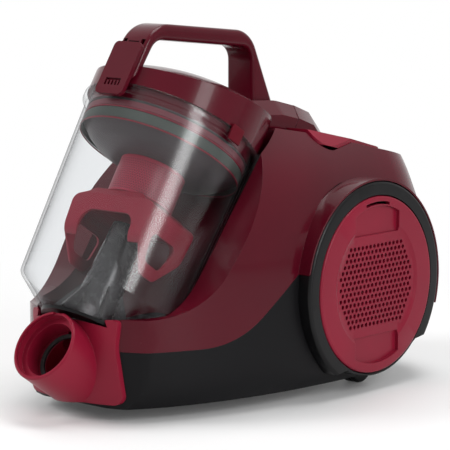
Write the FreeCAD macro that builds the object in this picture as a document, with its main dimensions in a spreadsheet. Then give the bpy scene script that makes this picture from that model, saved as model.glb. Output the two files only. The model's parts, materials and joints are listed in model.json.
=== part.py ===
import FreeCAD, Part
import math
import os
import Sketcher
from types import SimpleNamespace
from FreeCAD import Placement, Rotation, Vector

# Canister vacuum cleaner with a tilted clear dust bin, built in millimetres.
# +Z is up, the hose inlet faces -Y, and X = 0 is the plane of symmetry.
# The origin lies on the floor under the middle of the machine.

SIZES = [
    # body
    ("body_half_width", 112.0, "flank to middle plane at the widest level"),
    ("plan_centre_y", 70.0, "where the rounded nose outline starts"),
    ("nose_reach", 245.0, "length of the nose outline's half ellipse"),
    ("front_face_y", -150.0, "flat front face behind the inlet plate"),
    ("rear_y", 193.0, "rear wall"),
    ("rear_corner", 60.0, "rear corner radius in plan"),
    ("underside_z", 10.5, "ground clearance"),
    ("tail_rise_y", 105.0, "where the underside starts to rise"),
    ("tail_rise_z", 36.0, "underside height at the rise end"),
    ("tail_rise_length", 45.0, "length of the underside's first rise"),
    ("shell_wall", 2.6, "wall of both housings"),
    ("nose_top_z", 80.0, "top of the nose in front of the bin"),
    ("cradle_foot_y", -93.0, "where the cradle edge starts to climb"),
    ("crest_y", 10.0, "top of the cradle edge"),
    ("crest_z", 217.0, "height of the cradle edge"),
    ("deck_front_y", 60.0, "front of the pedal deck"),
    ("deck_front_z", 208.0, "height of the pedal deck at its front"),
    ("deck_rear_z", 174.0, "height of the deck line at the rear wall"),
    ("split_z", 55.0, "parting line of the housings at the nose"),
    ("split_rear_z", 62.0, "parting line of the housings at the rear"),
    # dust bin, measured along its own axis from the middle of its lip
    ("bin_lean", 33.1, "bin axis from the vertical, degrees"),
    ("lip_y", -36.4, "middle of the bin's lip"),
    ("lip_z", 213.2, "middle of the bin's lip"),
    ("lip_radius", 74.0, "bin lip"),
    ("lip_height", 6.0, "bin lip"),
    ("bin_top_radius", 70.2, "bin wall under the lip"),
    ("bin_low_radius", 65.0, "bin wall where its foot taper starts"),
    ("bin_taper_depth", 152.0, "depth of the foot taper's start"),
    ("bin_foot_radius", 38.5, "bin wall at its floor"),
    ("bin_depth", 173.4, "depth of the bin's underside"),
    ("bin_wall", 2.0, "clear wall"),
    ("bin_floor", 2.4, "clear floor"),
    ("base_ring_height", 2.5, "dark ring under the bin"),
    ("cradle_clearance", 3.0, "bin to cradle"),
    ("floor_gap", 1.6, "bin to the cradle's floor"),
    ("column_radius", 12.8, "intake column inside the bin"),
    ("column_wall", 2.0, "intake column"),
    ("column_top", 88.0, "depth of the column's open top"),
    ("column_foot_radius", 23.0, "flared foot of the column"),
    ("vane_height", 30.0, "vanes on the bin floor"),
    ("vane_reach", 35.0, "outer radius of the vanes"),
    ("mesh_radius", 27.0, "perforated outlet tube"),
    ("mesh_wall", 1.6, "perforated outlet tube"),
    ("mesh_end", 67.0, "depth of the outlet tube's end"),
    ("plate_depth", 35.5, "depth of the separator plate's underside"),
    ("plate_radius", 66.5, "separator plate rim"),
    ("plate_wall", 2.0, "separator plate"),
    ("hood_half_width", 44.0, "cyclone hood at its shoulders"),
    ("hood_low_half_width", 38.5, "cyclone hood at the tips of its legs"),
    ("hood_height", 60.0, "cyclone hood"),
    ("hood_half_depth", 27.0, "hood half thickness front to back"),
    ("hood_tip", 8.0, "half width of a leg's rounded tip"),
    ("hood_wall", 2.4, "hood wall"),
    ("arch_half_width", 28.0, "arch in the front and back of the hood"),
    ("arch_top", 19.0, "top of the arch under the hood's top"),
    ("window_half_width", 16.0, "windows in the hood's legs"),
    # lid, handle and latch
    ("lid_radius", 72.2, "lid wall"),
    ("lid_wall", 2.5, "lid wall"),
    ("lid_gap", 0.2, "lid to lip"),
    ("lid_rim_height", 31.0, "lid edge above the lip, on the bin axis"),
    ("lid_turn", 9.5, "lid top leans this much less than the bin, degrees"),
    ("dome_height", 15.0, "lid top above its edge"),
    ("skirt_depth", 6.5, "lid skirt inside the bin"),
    ("tail_half_width", 33.0, "lid tail and body spine"),
    ("tail_chamfer", 14.0, "sloping sides of the tail and spine"),
    ("tail_top_z", 231.4, "tail top at the handle's root"),
    ("tail_end_z", 225.6, "tail top at the parting line"),
    ("tail_end_y", 90.0, "parting line between tail and spine"),
    ("part_gap", 0.6, "gap at the parting line"),
    ("handle_half_width", 14.5, "carry handle"),
    ("handle_top_z", 299.0, "top of the carry handle"),
    ("grip_thickness", 14.0, "thickness of the grip"),
    ("latch_back", 74.6, "latch plate's back from the bin axis"),
    ("latch_thickness", 3.6, "latch plate"),
    ("latch_length", 46.0, "latch plate"),
    ("latch_pin_radius", 1.5, "latch pin"),
    # inlet
    ("inlet_y", -178.2, "middle of the inlet mouth"),
    ("inlet_z", 60.2, "middle of the inlet mouth"),
    ("inlet_rise", 34.3, "inlet axis above the horizontal, degrees"),
    ("inlet_radius", 28.9, "inlet tube outside"),
    ("mouth_bore", 26.4, "first step of the mouth"),
    ("mouth_depth", 8.0, "first step of the mouth"),
    ("socket_bore", 22.0, "hose socket"),
    ("socket_depth", 14.0, "hose socket"),
    ("seal_relief", 1.0, "undercut between hose socket and seal"),
    ("seal_height", 2.6, "seat of the inlet seal"),
    ("seal_radius", 20.6, "seat of the inlet seal"),
    ("throat_bore", 17.0, "inlet throat"),
    ("duct_wall", 2.4, "wall of the inlet duct"),
    ("riser_bore", 12.5, "duct up to the bin"),
    ("plate_thickness", 4.0, "inlet face plate"),
    ("plate_half_width", 46.5, "inlet face plate"),
    ("nose_bow", 116.0, "radius of the nose's bowed front in plan"),
    # filter covers and side housings
    ("cover_y", 80.0, "axis of the filter covers"),
    ("cover_z", 87.5, "axis of the filter covers"),
    ("cover_face_x", 118.5, "outer face of the covers and fender rings"),
    ("cover_radius", 71.8, "filter cover"),
    ("cover_thickness", 5.0, "filter cover"),
    ("cover_gap", 0.8, "filter cover to fender ring"),
    ("fender_radius", 83.7, "fender ring outside"),
    ("fender_back_x", 95.0, "inner face of the filter housing"),
    ("fender_wall", 2.5, "filter housing wall"),
    ("arch_radius", 84.0, "opening in the housings"),
    ("arch_lip", 1.5, "raised lip round the opening"),
    ("filter_radius", 57.0, "exhaust filter"),
    ("grille_hole_radius", 1.7, "holes in the filter covers"),
    ("grille_pitch", 5.0, "spacing of the grille holes"),
    ("grille_radius", 46.0, "reach of the grille holes"),
    ("grille_half_height", 35.0, "reach of the grille up and down"),
    # pedals
    ("pedal_inner_x", 35.0, "inner edge of the pedals"),
    ("pedal_outer_x", 78.0, "outer edge of the pedals in front"),
    ("pedal_outer_rear_x", 64.0, "outer edge of the pedals behind"),
    ("pedal_front_y", 62.0, "front edge of the pedals"),
    ("pedal_rear_y", 160.0, "rear edge of the pedals"),
    ("pedal_proud", 3.0, "pedal top above the deck"),
    ("pedal_sink", 8.0, "pedal underside below the deck"),
    ("pedal_travel", 4.0, "pedal stroke"),
    ("pedal_gap", 0.6, "pedal to pocket"),
    ("spring_y", 110.0, "pedal spring"),
    ("spring_x", 56.0, "pedal spring"),
    ("spring_radius", 5.0, "pedal spring, to the wire's middle"),
    ("spring_wire", 0.5, "pedal spring, wire radius"),
    ("cup_radius", 7.5, "pocket of the pedal spring"),
    ("cup_floor_z", 168.0, "floor of the spring pocket"),
    # running gear
    ("wheel_radius", 14.0, "rear wheels"),
    ("wheel_width", 14.0, "rear wheels"),
    ("wheel_x", 83.0, "middle of the rear wheels"),
    ("wheel_y", 98.0, "rear axle"),
    ("axle_radius", 2.5, "rear axle"),
    ("wheel_clearance", 3.0, "rear wheel to its arch"),
    ("caster_y", -106.0, "swivel axis of the front caster"),
    ("caster_trail", 5.0, "caster wheel behind its swivel axis"),
    ("caster_radius", 12.0, "caster wheel"),
    ("caster_width", 14.0, "caster wheel"),
    ("caster_pocket", 20.0, "pocket of the caster"),
    ("caster_roof_z", 31.0, "roof of the caster pocket"),
    ("stem_radius", 4.0, "caster stem"),
    ("running_gap", 0.05, "shaft to bore, on the radius"),
    # motor
    ("motor_y", 105.0, "motor axis"),
    ("motor_z", 108.0, "motor axis"),
    ("motor_radius", 47.0, "motor housing"),
    ("motor_wall", 3.0, "motor housing"),
    ("motor_left_x", 2.0, "fan end of the motor housing"),
    ("motor_right_x", 82.0, "brush end of the motor housing"),
    ("mount_thickness", 3.5, "rubber motor mounts"),
    ("mount_width", 6.0, "rubber motor mounts"),
    ("shaft_radius", 4.0, "motor shaft"),
    ("bearing_radius", 9.0, "motor bearings"),
    ("bearing_width", 5.0, "motor bearings"),
    ("armature_radius", 22.0, "motor armature"),
    ("stator_bore", 24.0, "motor stator"),
    ("fan_radius", 38.0, "fan impeller"),
    # cord reel
    ("reel_y", 100.0, "reel axis"),
    ("reel_z", 104.0, "reel axis"),
    ("reel_radius", 54.0, "reel flanges"),
    ("reel_core", 26.0, "reel core"),
    ("reel_inner_x", -42.0, "inner flange face"),
    ("reel_outer_x", -80.0, "outer flange face"),
    ("reel_flange", 3.0, "reel flanges"),
    ("reel_axle_radius", 6.0, "reel axle"),
    ("bracket_x", -37.5, "face of the reel bracket"),
    ("bracket_thickness", 3.0, "reel bracket"),
    ("brake_y", 136.0, "brake lever's pin"),
    ("brake_z", 162.0, "brake lever's pin"),
    ("brake_pin_radius", 1.5, "brake lever's pin"),
    ("screw_head", 3.5, "housing screws"),
    ("screw_shank", 1.6, "housing screws"),
    ("outlet_x", -44.0, "cord outlet"),
    ("outlet_z", 76.0, "cord outlet"),
    ("outlet_bore", 3.8, "cord outlet"),
    ("outlet_body", 6.9, "cord outlet"),
]

document = FreeCAD.newDocument("canister_vacuum")
sheet = document.addObject("Spreadsheet::Sheet", "Sizes")


class Size:
    """A number together with the sheet expression that keeps an object bound to it."""

    def __init__(self, number, text):
        self.number = float(number)
        self.text = text

    def join(self, sign, other, number):
        return Size(number, f"({self.text} {sign} {text_of(other)})")

    def __add__(self, other):
        return self.join("+", other, self.number + float(other))

    def __radd__(self, other):
        return Size(float(other) + self.number, f"({other} + {self.text})")

    def __sub__(self, other):
        return self.join("-", other, self.number - float(other))

    def __rsub__(self, other):
        return Size(float(other) - self.number, f"({other} - {self.text})")

    def __mul__(self, other):
        return self.join("*", other, self.number * float(other))

    __rmul__ = __mul__

    def __truediv__(self, other):
        return self.join("/", other, self.number / float(other))

    def __neg__(self):
        return Size(-self.number, f"(0 - {self.text})")

    def __float__(self):
        return self.number


def text_of(value):
    """The expression text of a size or a plain number."""
    return value.text if isinstance(value, Size) else str(value)


def fill_sheet():
    """Writes every driving size to the sheet and returns them by name."""
    named = {}
    for row, (name, number, note) in enumerate(SIZES, start=1):
        sheet.set(f"A{row}", name)
        sheet.set(f"B{row}", str(number))
        sheet.set(f"C{row}", note)
        sheet.setAlias(f"B{row}", name)
    document.recompute()
    for name, _, _ in SIZES:
        named[name] = Size(getattr(sheet, name), f"Sizes.{name}")
    return SimpleNamespace(**named)


S = fill_sheet()
S.cradle_depth = S.bin_depth + S.base_ring_height + S.floor_gap
NODES = []


def vec(x, y, z):
    """A vector from sizes or numbers."""
    return Vector(float(x), float(y), float(z))


def turned(axis, degrees):
    """A rotation about one axis, in degrees."""
    return Rotation(axis, float(degrees))


AXIS_X = Vector(1, 0, 0)
AXIS_Y = Vector(0, 1, 0)
AXIS_Z = Vector(0, 0, 1)

BIN_FRAME = Placement(vec(0, S.lip_y, S.lip_z), turned(AXIS_X, -S.bin_lean))
INLET_FRAME = Placement(vec(0, S.inlet_y, S.inlet_z), turned(AXIS_X, 90 - S.inlet_rise))


def side_frame(side, y, z):
    """Frame on an axis across the machine: its Z points outward on that side."""
    return Placement(vec(0, y, z), turned(AXIS_Y, 90 * side))


def bind(item, **values):
    """Sets properties and keeps those that come from the sheet bound to it."""
    for name, value in values.items():
        setattr(item, name, float(value))
        if isinstance(value, Size):
            item.setExpression(name, value.text)
    return item


def keep(item, label):
    """Names a finished sub-part."""
    item.Label = label
    NODES.append(item)
    return item


# ---------------------------------------------------------------- primitives

def box(name, low, high, frame=None):
    """A box between two corners, in a frame."""
    item = document.addObject("Part::Box", name)
    bind(item, Length=high[0] - low[0], Width=high[1] - low[1], Height=high[2] - low[2])
    item.Placement = (frame or Placement()).multiply(Placement(vec(*low), Rotation()))
    return item


def cylinder(name, radius, low, high, frame=None, axis=(0, 0)):
    """A cylinder along the frame's Z from low to high, beside its axis by (x, y)."""
    item = document.addObject("Part::Cylinder", name)
    bind(item, Radius=radius, Height=high - low)
    item.Placement = (frame or Placement()).multiply(Placement(vec(axis[0], axis[1], low), Rotation()))
    return item


def sphere(name, radius, centre, frame=None):
    """A ball at a point of a frame."""
    item = document.addObject("Part::Sphere", name)
    bind(item, Radius=radius)
    item.Placement = (frame or Placement()).multiply(Placement(vec(*centre), Rotation()))
    return item


def join(name, items):
    """One solid from several."""
    item = document.addObject("Part::MultiFuse", name)
    item.Shapes = items
    return item


def meet(name, first, second):
    """What two solids share."""
    item = document.addObject("Part::Common", name)
    item.Base = first
    item.Tool = second
    return item


def cut(name, base, tools):
    """A solid less one or more tools."""
    tool = tools[0] if len(tools) == 1 else join(name + "_tools", tools)
    item = document.addObject("Part::Cut", name)
    item.Base = base
    item.Tool = tool
    return item


def shaped(name, shape):
    """A feature that holds a ready shape."""
    item = document.addObject("Part::Feature", name)
    item.Shape = shape
    return item


# ------------------------------------------------------------ sketched bodies

def origin_plane(body, role):
    """One of a body's own origin planes."""
    return next(item for item in body.Origin.OriginFeatures if item.Role == role)


def outline(body, name, role, points):
    """A closed straight-sided sketch whose corners are bound to sizes."""
    sketch = body.newObject("Sketcher::SketchObject", name)
    sketch.AttachmentSupport = (origin_plane(body, role), "")
    sketch.MapMode = "FlatFace"
    corners = [vec(x, y, 0) for x, y in points]
    for start, end in zip(corners, corners[1:] + corners[:1]):
        sketch.addGeometry(Part.LineSegment(start, end), False)
    for index in range(len(corners)):
        following = (index + 1) % len(corners)
        sketch.addConstraint(Sketcher.Constraint("Coincident", index, 2, following, 1))
    for index, (x, y) in enumerate(points):
        pin_corner(sketch, "DistanceX", index, x, -2)
        pin_corner(sketch, "DistanceY", index, y, -1)
    return sketch


def pin_corner(sketch, kind, index, value, axis):
    """Holds one coordinate of a sketch corner at a size, or on an axis at zero."""
    if not isinstance(value, Size) and float(value) == 0:
        sketch.addConstraint(Sketcher.Constraint("PointOnObject", index, 1, axis))
        return
    number = sketch.addConstraint(Sketcher.Constraint(kind, -1, 1, index, 1, float(value)))
    if isinstance(value, Size):
        sketch.setExpression(f"Constraints[{number}]", value.text)


def turned_body(name, frame, points):
    """A body turned about its Z axis from (radius, height) corners."""
    body = document.addObject("PartDesign::Body", name)
    sketch = outline(body, name + "_profile", "XZ_Plane", points)
    turn = body.newObject("PartDesign::Revolution", name + "_turn")
    turn.Profile = sketch
    turn.ReferenceAxis = (sketch, ["V_Axis"])
    turn.Angle = 360
    body.Placement = frame
    return body


def padded_body(name, role, points, depth, frame=None):
    """A body padded evenly to both sides of an origin plane."""
    body = document.addObject("PartDesign::Body", name)
    sketch = outline(body, name + "_profile", role, points)
    pad = body.newObject("PartDesign::Pad", name + "_pad")
    pad.Profile = sketch
    pad.SideType = "Symmetric"
    bind(pad, Length=depth)
    body.Placement = frame or Placement()
    return body


def round_corners(body, base, role, corners, name):
    """Fillets the straight edges of a pad that stand on the given sketch corners."""
    document.recompute()
    across = {"YZ_Plane": 0, "XZ_Plane": 1, "XY_Plane": 2}[role]
    for count, (radius, places) in enumerate(corners):
        chosen = []
        for number, edge in enumerate(base.Shape.Edges, start=1):
            middle = edge.CenterOfMass
            flat = [middle[axis] for axis in range(3) if axis != across]
            ends = [vertex.Point for vertex in edge.Vertexes]
            runs_across = len(ends) == 2 and abs(ends[0][across] - ends[1][across]) > 1.0
            near = any(math.dist(flat, (float(u), float(v))) < 0.01 for u, v in places)
            if runs_across and near:
                chosen.append(f"Edge{number}")
        fillet = body.newObject("PartDesign::Fillet", f"{name}_{count}")
        fillet.Base = (base, chosen)
        bind(fillet, Radius=radius)
        document.recompute()
        base = fillet
    return base


# --------------------------------------------------------------- free shapes

def rounded_wire(corners):
    """A closed wire through (point, radius) corners: straight runs and tangent arcs."""
    stops = []
    for index, (here, radius) in enumerate(corners):
        before = (corners[index - 1][0] - here).normalize()
        after = (corners[(index + 1) % len(corners)][0] - here).normalize()
        half = before.getAngle(after) / 2
        reach = float(radius) / math.tan(half)
        start = here + before * reach
        end = here + after * reach
        middle = here
        if float(radius) > 0:
            inward = (before + after).normalize()
            middle = here + inward * (float(radius) / math.sin(half) - float(radius))
        stops.append((start, middle, end, float(radius)))
    edges = []
    for index, (start, middle, end, radius) in enumerate(stops):
        if radius > 0:
            edges.append(Part.Arc(start, middle, end).toShape())
        next_start = stops[(index + 1) % len(stops)][0]
        if end.distanceToPoint(next_start) > 1e-4:
            edges.append(Part.LineSegment(end, next_start).toShape())
    return Part.Wire(edges)


def side_block(points, left, right):
    """A side outline of (y, z, radius) corners, extruded across the machine."""
    wire = rounded_wire([(vec(left, y, z), radius) for y, z, radius in points])
    return Part.Face(wire).extrude(vec(right - left, 0, 0))


def front_block(points, near, far):
    """A front outline of (x, z, radius) corners, extruded from near to far in Y."""
    wire = rounded_wire([(vec(x, near, z), radius) for x, z, radius in points])
    return Part.Face(wire).extrude(vec(0, far - near, 0))


def turned_shape(points, frame):
    """A solid turned about a frame's Z axis from (radius, height) corners."""
    corners = [vec(radius, 0, height) for radius, height in points]
    solid = Part.Face(Part.makePolygon(corners + corners[:1])).revolve(Vector(), AXIS_Z, 360)
    solid.Placement = frame
    return solid


def coil(radius, wire, pitch, height):
    """A coil spring: one round wire swept along a helix about Z."""
    path = Part.makeHelix(pitch, height, radius)
    section = Part.Wire(Part.makeCircle(wire, Vector(radius, 0, 0), AXIS_Y))
    return Part.Wire(path).makePipeShell([section], True, True)


# ------------------------------------------------------------ body envelope

FLANK = [(8.5, 12), (20, 4.5), (34, 1), (60, 0), (90, 0), (120, 1.5), (140, 5), (156, 10.5),
         (170, 17.5), (182, 25.5), (193, 35), (203, 45.5), (214, 58), (226, 73)]


def plan_wire(height, inset):
    """The body's outline at one height: half an ellipse in front, two round corners behind."""
    half = float(S.body_half_width) - inset
    reach = float(S.nose_reach) - 0.6 * inset
    middle = float(S.plan_centre_y)
    rear = float(S.rear_y) - 0.25 * inset
    corner = min(float(S.rear_corner), 0.6 * half)
    ellipse = Part.Ellipse(Vector(0, middle - reach, height), Vector(half, middle, height),
                           Vector(0, middle, height))
    quarter = math.pi / 2
    slant = corner * math.sqrt(0.5)
    straight = rear - corner
    edges = [
        Part.Arc(ellipse, 0, quarter).toShape(),
        Part.LineSegment(Vector(half, middle, height), Vector(half, straight, height)).toShape(),
        Part.Arc(Vector(half, straight, height),
                 Vector(half - corner + slant, straight + slant, height),
                 Vector(half - corner, rear, height)).toShape(),
        Part.LineSegment(Vector(half - corner, rear, height),
                         Vector(corner - half, rear, height)).toShape(),
        Part.Arc(Vector(corner - half, rear, height),
                 Vector(corner - half - slant, straight + slant, height),
                 Vector(-half, straight, height)).toShape(),
        Part.LineSegment(Vector(-half, straight, height), Vector(-half, middle, height)).toShape(),
        Part.Arc(ellipse, -quarter, 0).toShape(),
    ]
    return Part.Wire(Part.__sortEdges__(edges))


def nose_block(inset):
    """The square end of the nose behind the inlet plate."""
    reach = float(S.plate_half_width) - 0.5 - inset
    return front_block([(-reach, 84, 0), (-reach - 3, 10, 8), (reach + 3, 10, 8), (reach, 84, 0)],
                       float(S.front_face_y) - 5, -124)


def ahead_of_bow(proud):
    """Everything in front of the nose's bowed face, proud of it by a distance."""
    bow = float(S.nose_bow)
    middle = float(S.front_face_y) + bow
    room = Part.makeBox(400, 200, 300, Vector(-200, middle - 20 - 200, -50))
    return room.cut(Part.makeCylinder(bow + proud, 400, Vector(0, middle, -100)))


def plan_loft(extra):
    """The body's rounded flanks with its square nose, drawn in by extra."""
    wires = [plan_wire(height, inset + extra) for height, inset in FLANK]
    return Part.makeLoft(wires, True, False).fuse(nose_block(extra))


def deck_z(y):
    """Height of the pedal deck line."""
    run = (y - float(S.deck_front_y)) / (float(S.rear_y) + 7 - float(S.deck_front_y))
    return float(S.deck_front_z) + run * (float(S.deck_rear_z) - float(S.deck_front_z))


def body_profile(inset):
    """The body seen from the side, drawn in by inset."""
    far = float(S.rear_y) + 7
    rise_end = float(S.tail_rise_y) + float(S.tail_rise_length)
    climb = (float(S.tail_rise_z) - float(S.underside_z)) / float(S.tail_rise_length)
    corners = [
        (S.front_face_y, S.underside_z, 6), (S.tail_rise_y, S.underside_z, 30),
        (rise_end, S.tail_rise_z, 40), (far, float(S.tail_rise_z) + climb * (far - rise_end) * 0.9, 0),
        (far, S.deck_rear_z, 0), (S.deck_front_y, S.deck_front_z, 60), (S.crest_y, S.crest_z, 18),
        (S.cradle_foot_y, S.nose_top_z, 75), (S.front_face_y, S.nose_top_z, 5),
    ]
    side = float(S.body_half_width) + 20
    wire = rounded_wire([(vec(-side, y, z), radius) for y, z, radius in corners])
    face = Part.Face(wire)
    if inset:
        face = face.makeOffset2D(-inset)
    return face.extrude(Vector(2 * side, 0, 0))


def cradle(extra):
    """The hollow that the bin stands in, widened by extra."""
    gap = float(S.cradle_clearance) + extra
    return turned_shape([
        (0, -float(S.cradle_depth) - extra),
        (float(S.bin_foot_radius) + gap, -float(S.cradle_depth) - extra),
        (float(S.bin_foot_radius) + gap, -float(S.bin_depth)),
        (float(S.bin_low_radius) + gap, -float(S.bin_taper_depth)),
        (float(S.lip_radius) + gap, 0),
        (float(S.lip_radius) + gap, 110),
        (0, 110),
    ], BIN_FRAME)


def across(radius, left, right, y, z):
    """A cylinder across the machine."""
    return Part.makeCylinder(float(radius), float(right) - float(left), vec(left, y, z), AXIS_X)


def fender_floor(offset):
    """Everything under the sloping lower ends of the fender rings."""
    slope = 0.146
    low_z = 27.9 + offset
    reach = 140
    return side_block([
        (float(S.cover_y) - reach, low_z - slope * reach, 0), (float(S.cover_y) - reach, -60, 0),
        (float(S.cover_y) + reach, -60, 0), (float(S.cover_y) + reach, low_z + slope * reach, 0),
    ], -reach, reach)


def side_wells():
    """Room for the two filter housings in the housings' flanks."""
    near = float(S.fender_back_x) - 0.3
    far = float(S.cover_face_x) + 20
    arch = across(S.arch_radius, near, far, S.cover_y, S.cover_z).cut(fender_floor(-0.3))
    drum = across(drum_radius() + 0.3, near, far, S.cover_y, S.cover_z)
    well = arch.fuse(drum)
    return well.fuse(well.mirror(Vector(), AXIS_X))


def drum_radius():
    """Outside of the full round drum behind a filter cover."""
    return float(S.cover_radius + S.cover_gap) + 1.6


def lower_region():
    """Everything under the parting line of the two housings."""
    return side_block([
        (-260, -40, 0), (260, -40, 0), (260, S.split_rear_z, 0), (110, S.split_rear_z, 0),
        (-2, 106, 0), (-62, S.split_z, 80), (-260, S.split_z, 0),
    ], -160, 160)


def spine_shape(inset):
    """The raised spine of the body behind the lid's tail."""
    lean = math.tan(math.radians(float(S.bin_lean)))
    front_y = float(S.tail_end_y) + float(S.part_gap) + inset
    top_z = float(S.tail_end_z) - inset
    drop = 34.0
    block = side_block([
        (front_y, top_z, 0), (110, 218.5 - inset, 0), (124 - inset, 203, 0), (132 - inset, 185, 0),
        (front_y - lean * drop, top_z - drop, 0),
    ], -float(S.tail_half_width) + inset, float(S.tail_half_width) - inset)
    edges = [edge for edge in block.Edges
             if len(edge.Vertexes) == 2
             and abs(edge.Vertexes[0].X - edge.Vertexes[1].X) < 1e-6
             and edge.CenterOfMass.z > 205
             and edge.CenterOfMass.y > front_y - 1]
    return block.makeChamfer(float(S.tail_chamfer) * 0.8, edges)


def pedal_block(side, grow, top, bottom):
    """Room of one pedal: its outline in plan, between two heights over the deck line."""
    front = float(S.pedal_front_y)
    rear = float(S.pedal_rear_y)
    plan = rounded_wire([
        (vec(S.pedal_inner_x, front, 100), 5), (vec(S.pedal_outer_x, front, 100), 14),
        (vec(S.pedal_outer_rear_x, rear, 100), 20), (vec(S.pedal_inner_x, rear, 100), 6),
    ])
    face = Part.Face(plan)
    if grow:
        face = face.makeOffset2D(grow)
    prism = face.extrude(Vector(0, 0, 160))
    near, far = front - 10, rear + 10
    slab = side_block([
        (near, deck_z(near) + top, 0), (far, deck_z(far) + top, 0),
        (far, deck_z(far) + bottom, 0), (near, deck_z(near) + bottom, 0),
    ], 0, 140)
    block = prism.common(slab)
    return block if side > 0 else block.mirror(Vector(), AXIS_X)


def pedal_arm(side, grow, bottom):
    """The arm under a pedal that reaches its switch or brake."""
    low_x, high_x = (44.0, 47.0) if side > 0 else (-47.0, -42.0)
    top = deck_z(148) + 2
    return Part.makeBox(high_x - low_x + 2 * grow, 4 + 2 * grow, top - bottom,
                        Vector(low_x - grow, 146 - grow, bottom))


def housing_shapes():
    """The two housings: one skin parted along the side line."""
    wall = float(S.shell_wall)
    outer = plan_loft(0).common(body_profile(0)).cut(ahead_of_bow(0))
    inner = plan_loft(wall).common(body_profile(wall)).cut(ahead_of_bow(-wall))
    spine = spine_shape(0)
    lip = across(S.arch_radius + S.arch_lip, 99, float(S.cover_face_x) - 1, S.cover_y, S.cover_z)
    lip = lip.fuse(lip.mirror(Vector(), AXIS_X)).cut(lower_region())
    skin = outer.cut(inner.cut(cradle(wall)))
    skin = skin.fuse([spine.cut(inner), lip.cut(inner)]).cut([cradle(0), spine_shape(wall)])
    skin = skin.cut(side_wells())
    return skin.cut(lower_region()), skin.common(lower_region()), inner


# ------------------------------------------------------------- the housings

upper_skin, lower_skin, hollow = housing_shapes()


SCREWS = [(-40, -60), (40, -60), (-30, 60), (30, 60)]


def make_upper_shell():
    """Glossy upper housing: cradle, deck with two pedal pockets and spring cups."""
    shell = upper_skin
    drop = -float(S.pedal_sink) - float(S.pedal_travel) - 1
    grow = float(S.pedal_gap)
    for side in (-1, 1):
        tray = pedal_block(side, grow + 2, -0.5, drop - 2).common(hollow)
        cup_x = side * float(S.spring_x)
        cup = Part.makeCylinder(float(S.cup_radius) + 2, 22, Vector(cup_x, float(S.spring_y),
                                                                    float(S.cup_floor_z) - 2))
        shell = shell.fuse([tray, cup])
        shell = shell.cut(pedal_block(side, grow, 20, drop))
        bore = Part.makeCylinder(float(S.cup_radius), 22, Vector(cup_x, float(S.spring_y),
                                                                 float(S.cup_floor_z)))
        post = Part.makeCylinder(3.4, 40, Vector(cup_x, float(S.spring_y), float(S.cup_floor_z) - 20))
        shell = shell.cut([bore, post, pedal_arm(side, 0.6, 140)])
    outlet = Part.makeCylinder(float(S.outlet_body) + 0.1, 40,
                               vec(S.outlet_x, float(S.rear_y) - 20, S.outlet_z), AXIS_Y)
    return shell.cut([outlet, riser_shape(0.4)])


def make_base_housing():
    """Black lower housing with wheel arches, caster pocket, motor cradles and reel bracket."""
    wall = float(S.shell_wall)
    base = lower_skin
    additions = []
    pockets = []
    for side in (-1, 1):
        half = float(S.wheel_width) / 2 + 2
        reach = float(S.wheel_radius) + float(S.wheel_clearance)
        top = float(S.wheel_radius) * 2 + float(S.wheel_clearance)
        middle = side * float(S.wheel_x)
        additions.append(Part.makeBox(2 * half + 4, 2 * reach + 4, top - 6,
                                      vec(middle - half - 2, S.wheel_y - reach - 2, 8)))
        pockets.append(Part.makeBox(2 * half, 2 * reach, top + 20,
                                    vec(middle - half, S.wheel_y - reach, -20)))
        pockets.append(across(S.axle_radius + S.running_gap, middle - half - 1.5, middle + half + 1.5,
                              S.wheel_y, S.wheel_radius))
    for low_x in (S.motor_left_x + 4, S.motor_right_x - 10):
        plate = Part.makeBox(float(S.mount_width), 112, 98, vec(low_x, float(S.motor_y) - 56, 10))
        additions.append(plate)
    ring = float(S.motor_radius) + float(S.mount_thickness)
    pockets.append(across(ring, float(S.motor_left_x) - 20, 94, S.motor_y, S.motor_z))
    additions.append(Part.makeBox(float(S.bracket_thickness), 130, 158,
                                  vec(float(S.bracket_x) - float(S.bracket_thickness), 50, 10)))
    pockets.append(across(S.reel_axle_radius, -60, -20, S.reel_y, S.reel_z))
    pockets.append(across(S.brake_pin_radius, -60, -20, S.brake_y, S.brake_z))
    for x, y in SCREWS:
        additions.append(Part.makeCylinder(5, 12, Vector(x, y, float(S.underside_z))))
        pockets.append(Part.makeCylinder(float(S.screw_shank), 24, Vector(x, y, 0)))
        pockets.append(Part.makeCylinder(float(S.screw_head) + 0.1, 2.4, vec(x, y, S.underside_z)))
    caster_roof = float(S.caster_roof_z)
    additions.append(Part.makeCylinder(float(S.caster_pocket) + 2, caster_roof - 6,
                                       vec(0, S.caster_y, 8.4)))
    additions.append(Part.makeCylinder(8, 10, vec(0, S.caster_y, caster_roof)))
    pockets.append(Part.makeCylinder(float(S.caster_pocket), caster_roof + 20,
                                     vec(0, S.caster_y, -20)))
    pockets.append(Part.makeCylinder(float(S.stem_radius + S.running_gap), 60,
                                     vec(0, S.caster_y, -10)))
    inside = [item.common(hollow.cut(cradle(wall))) for item in additions]
    pockets.append(riser_shape(0.4))
    return base.fuse(inside).cut(pockets)


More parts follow.
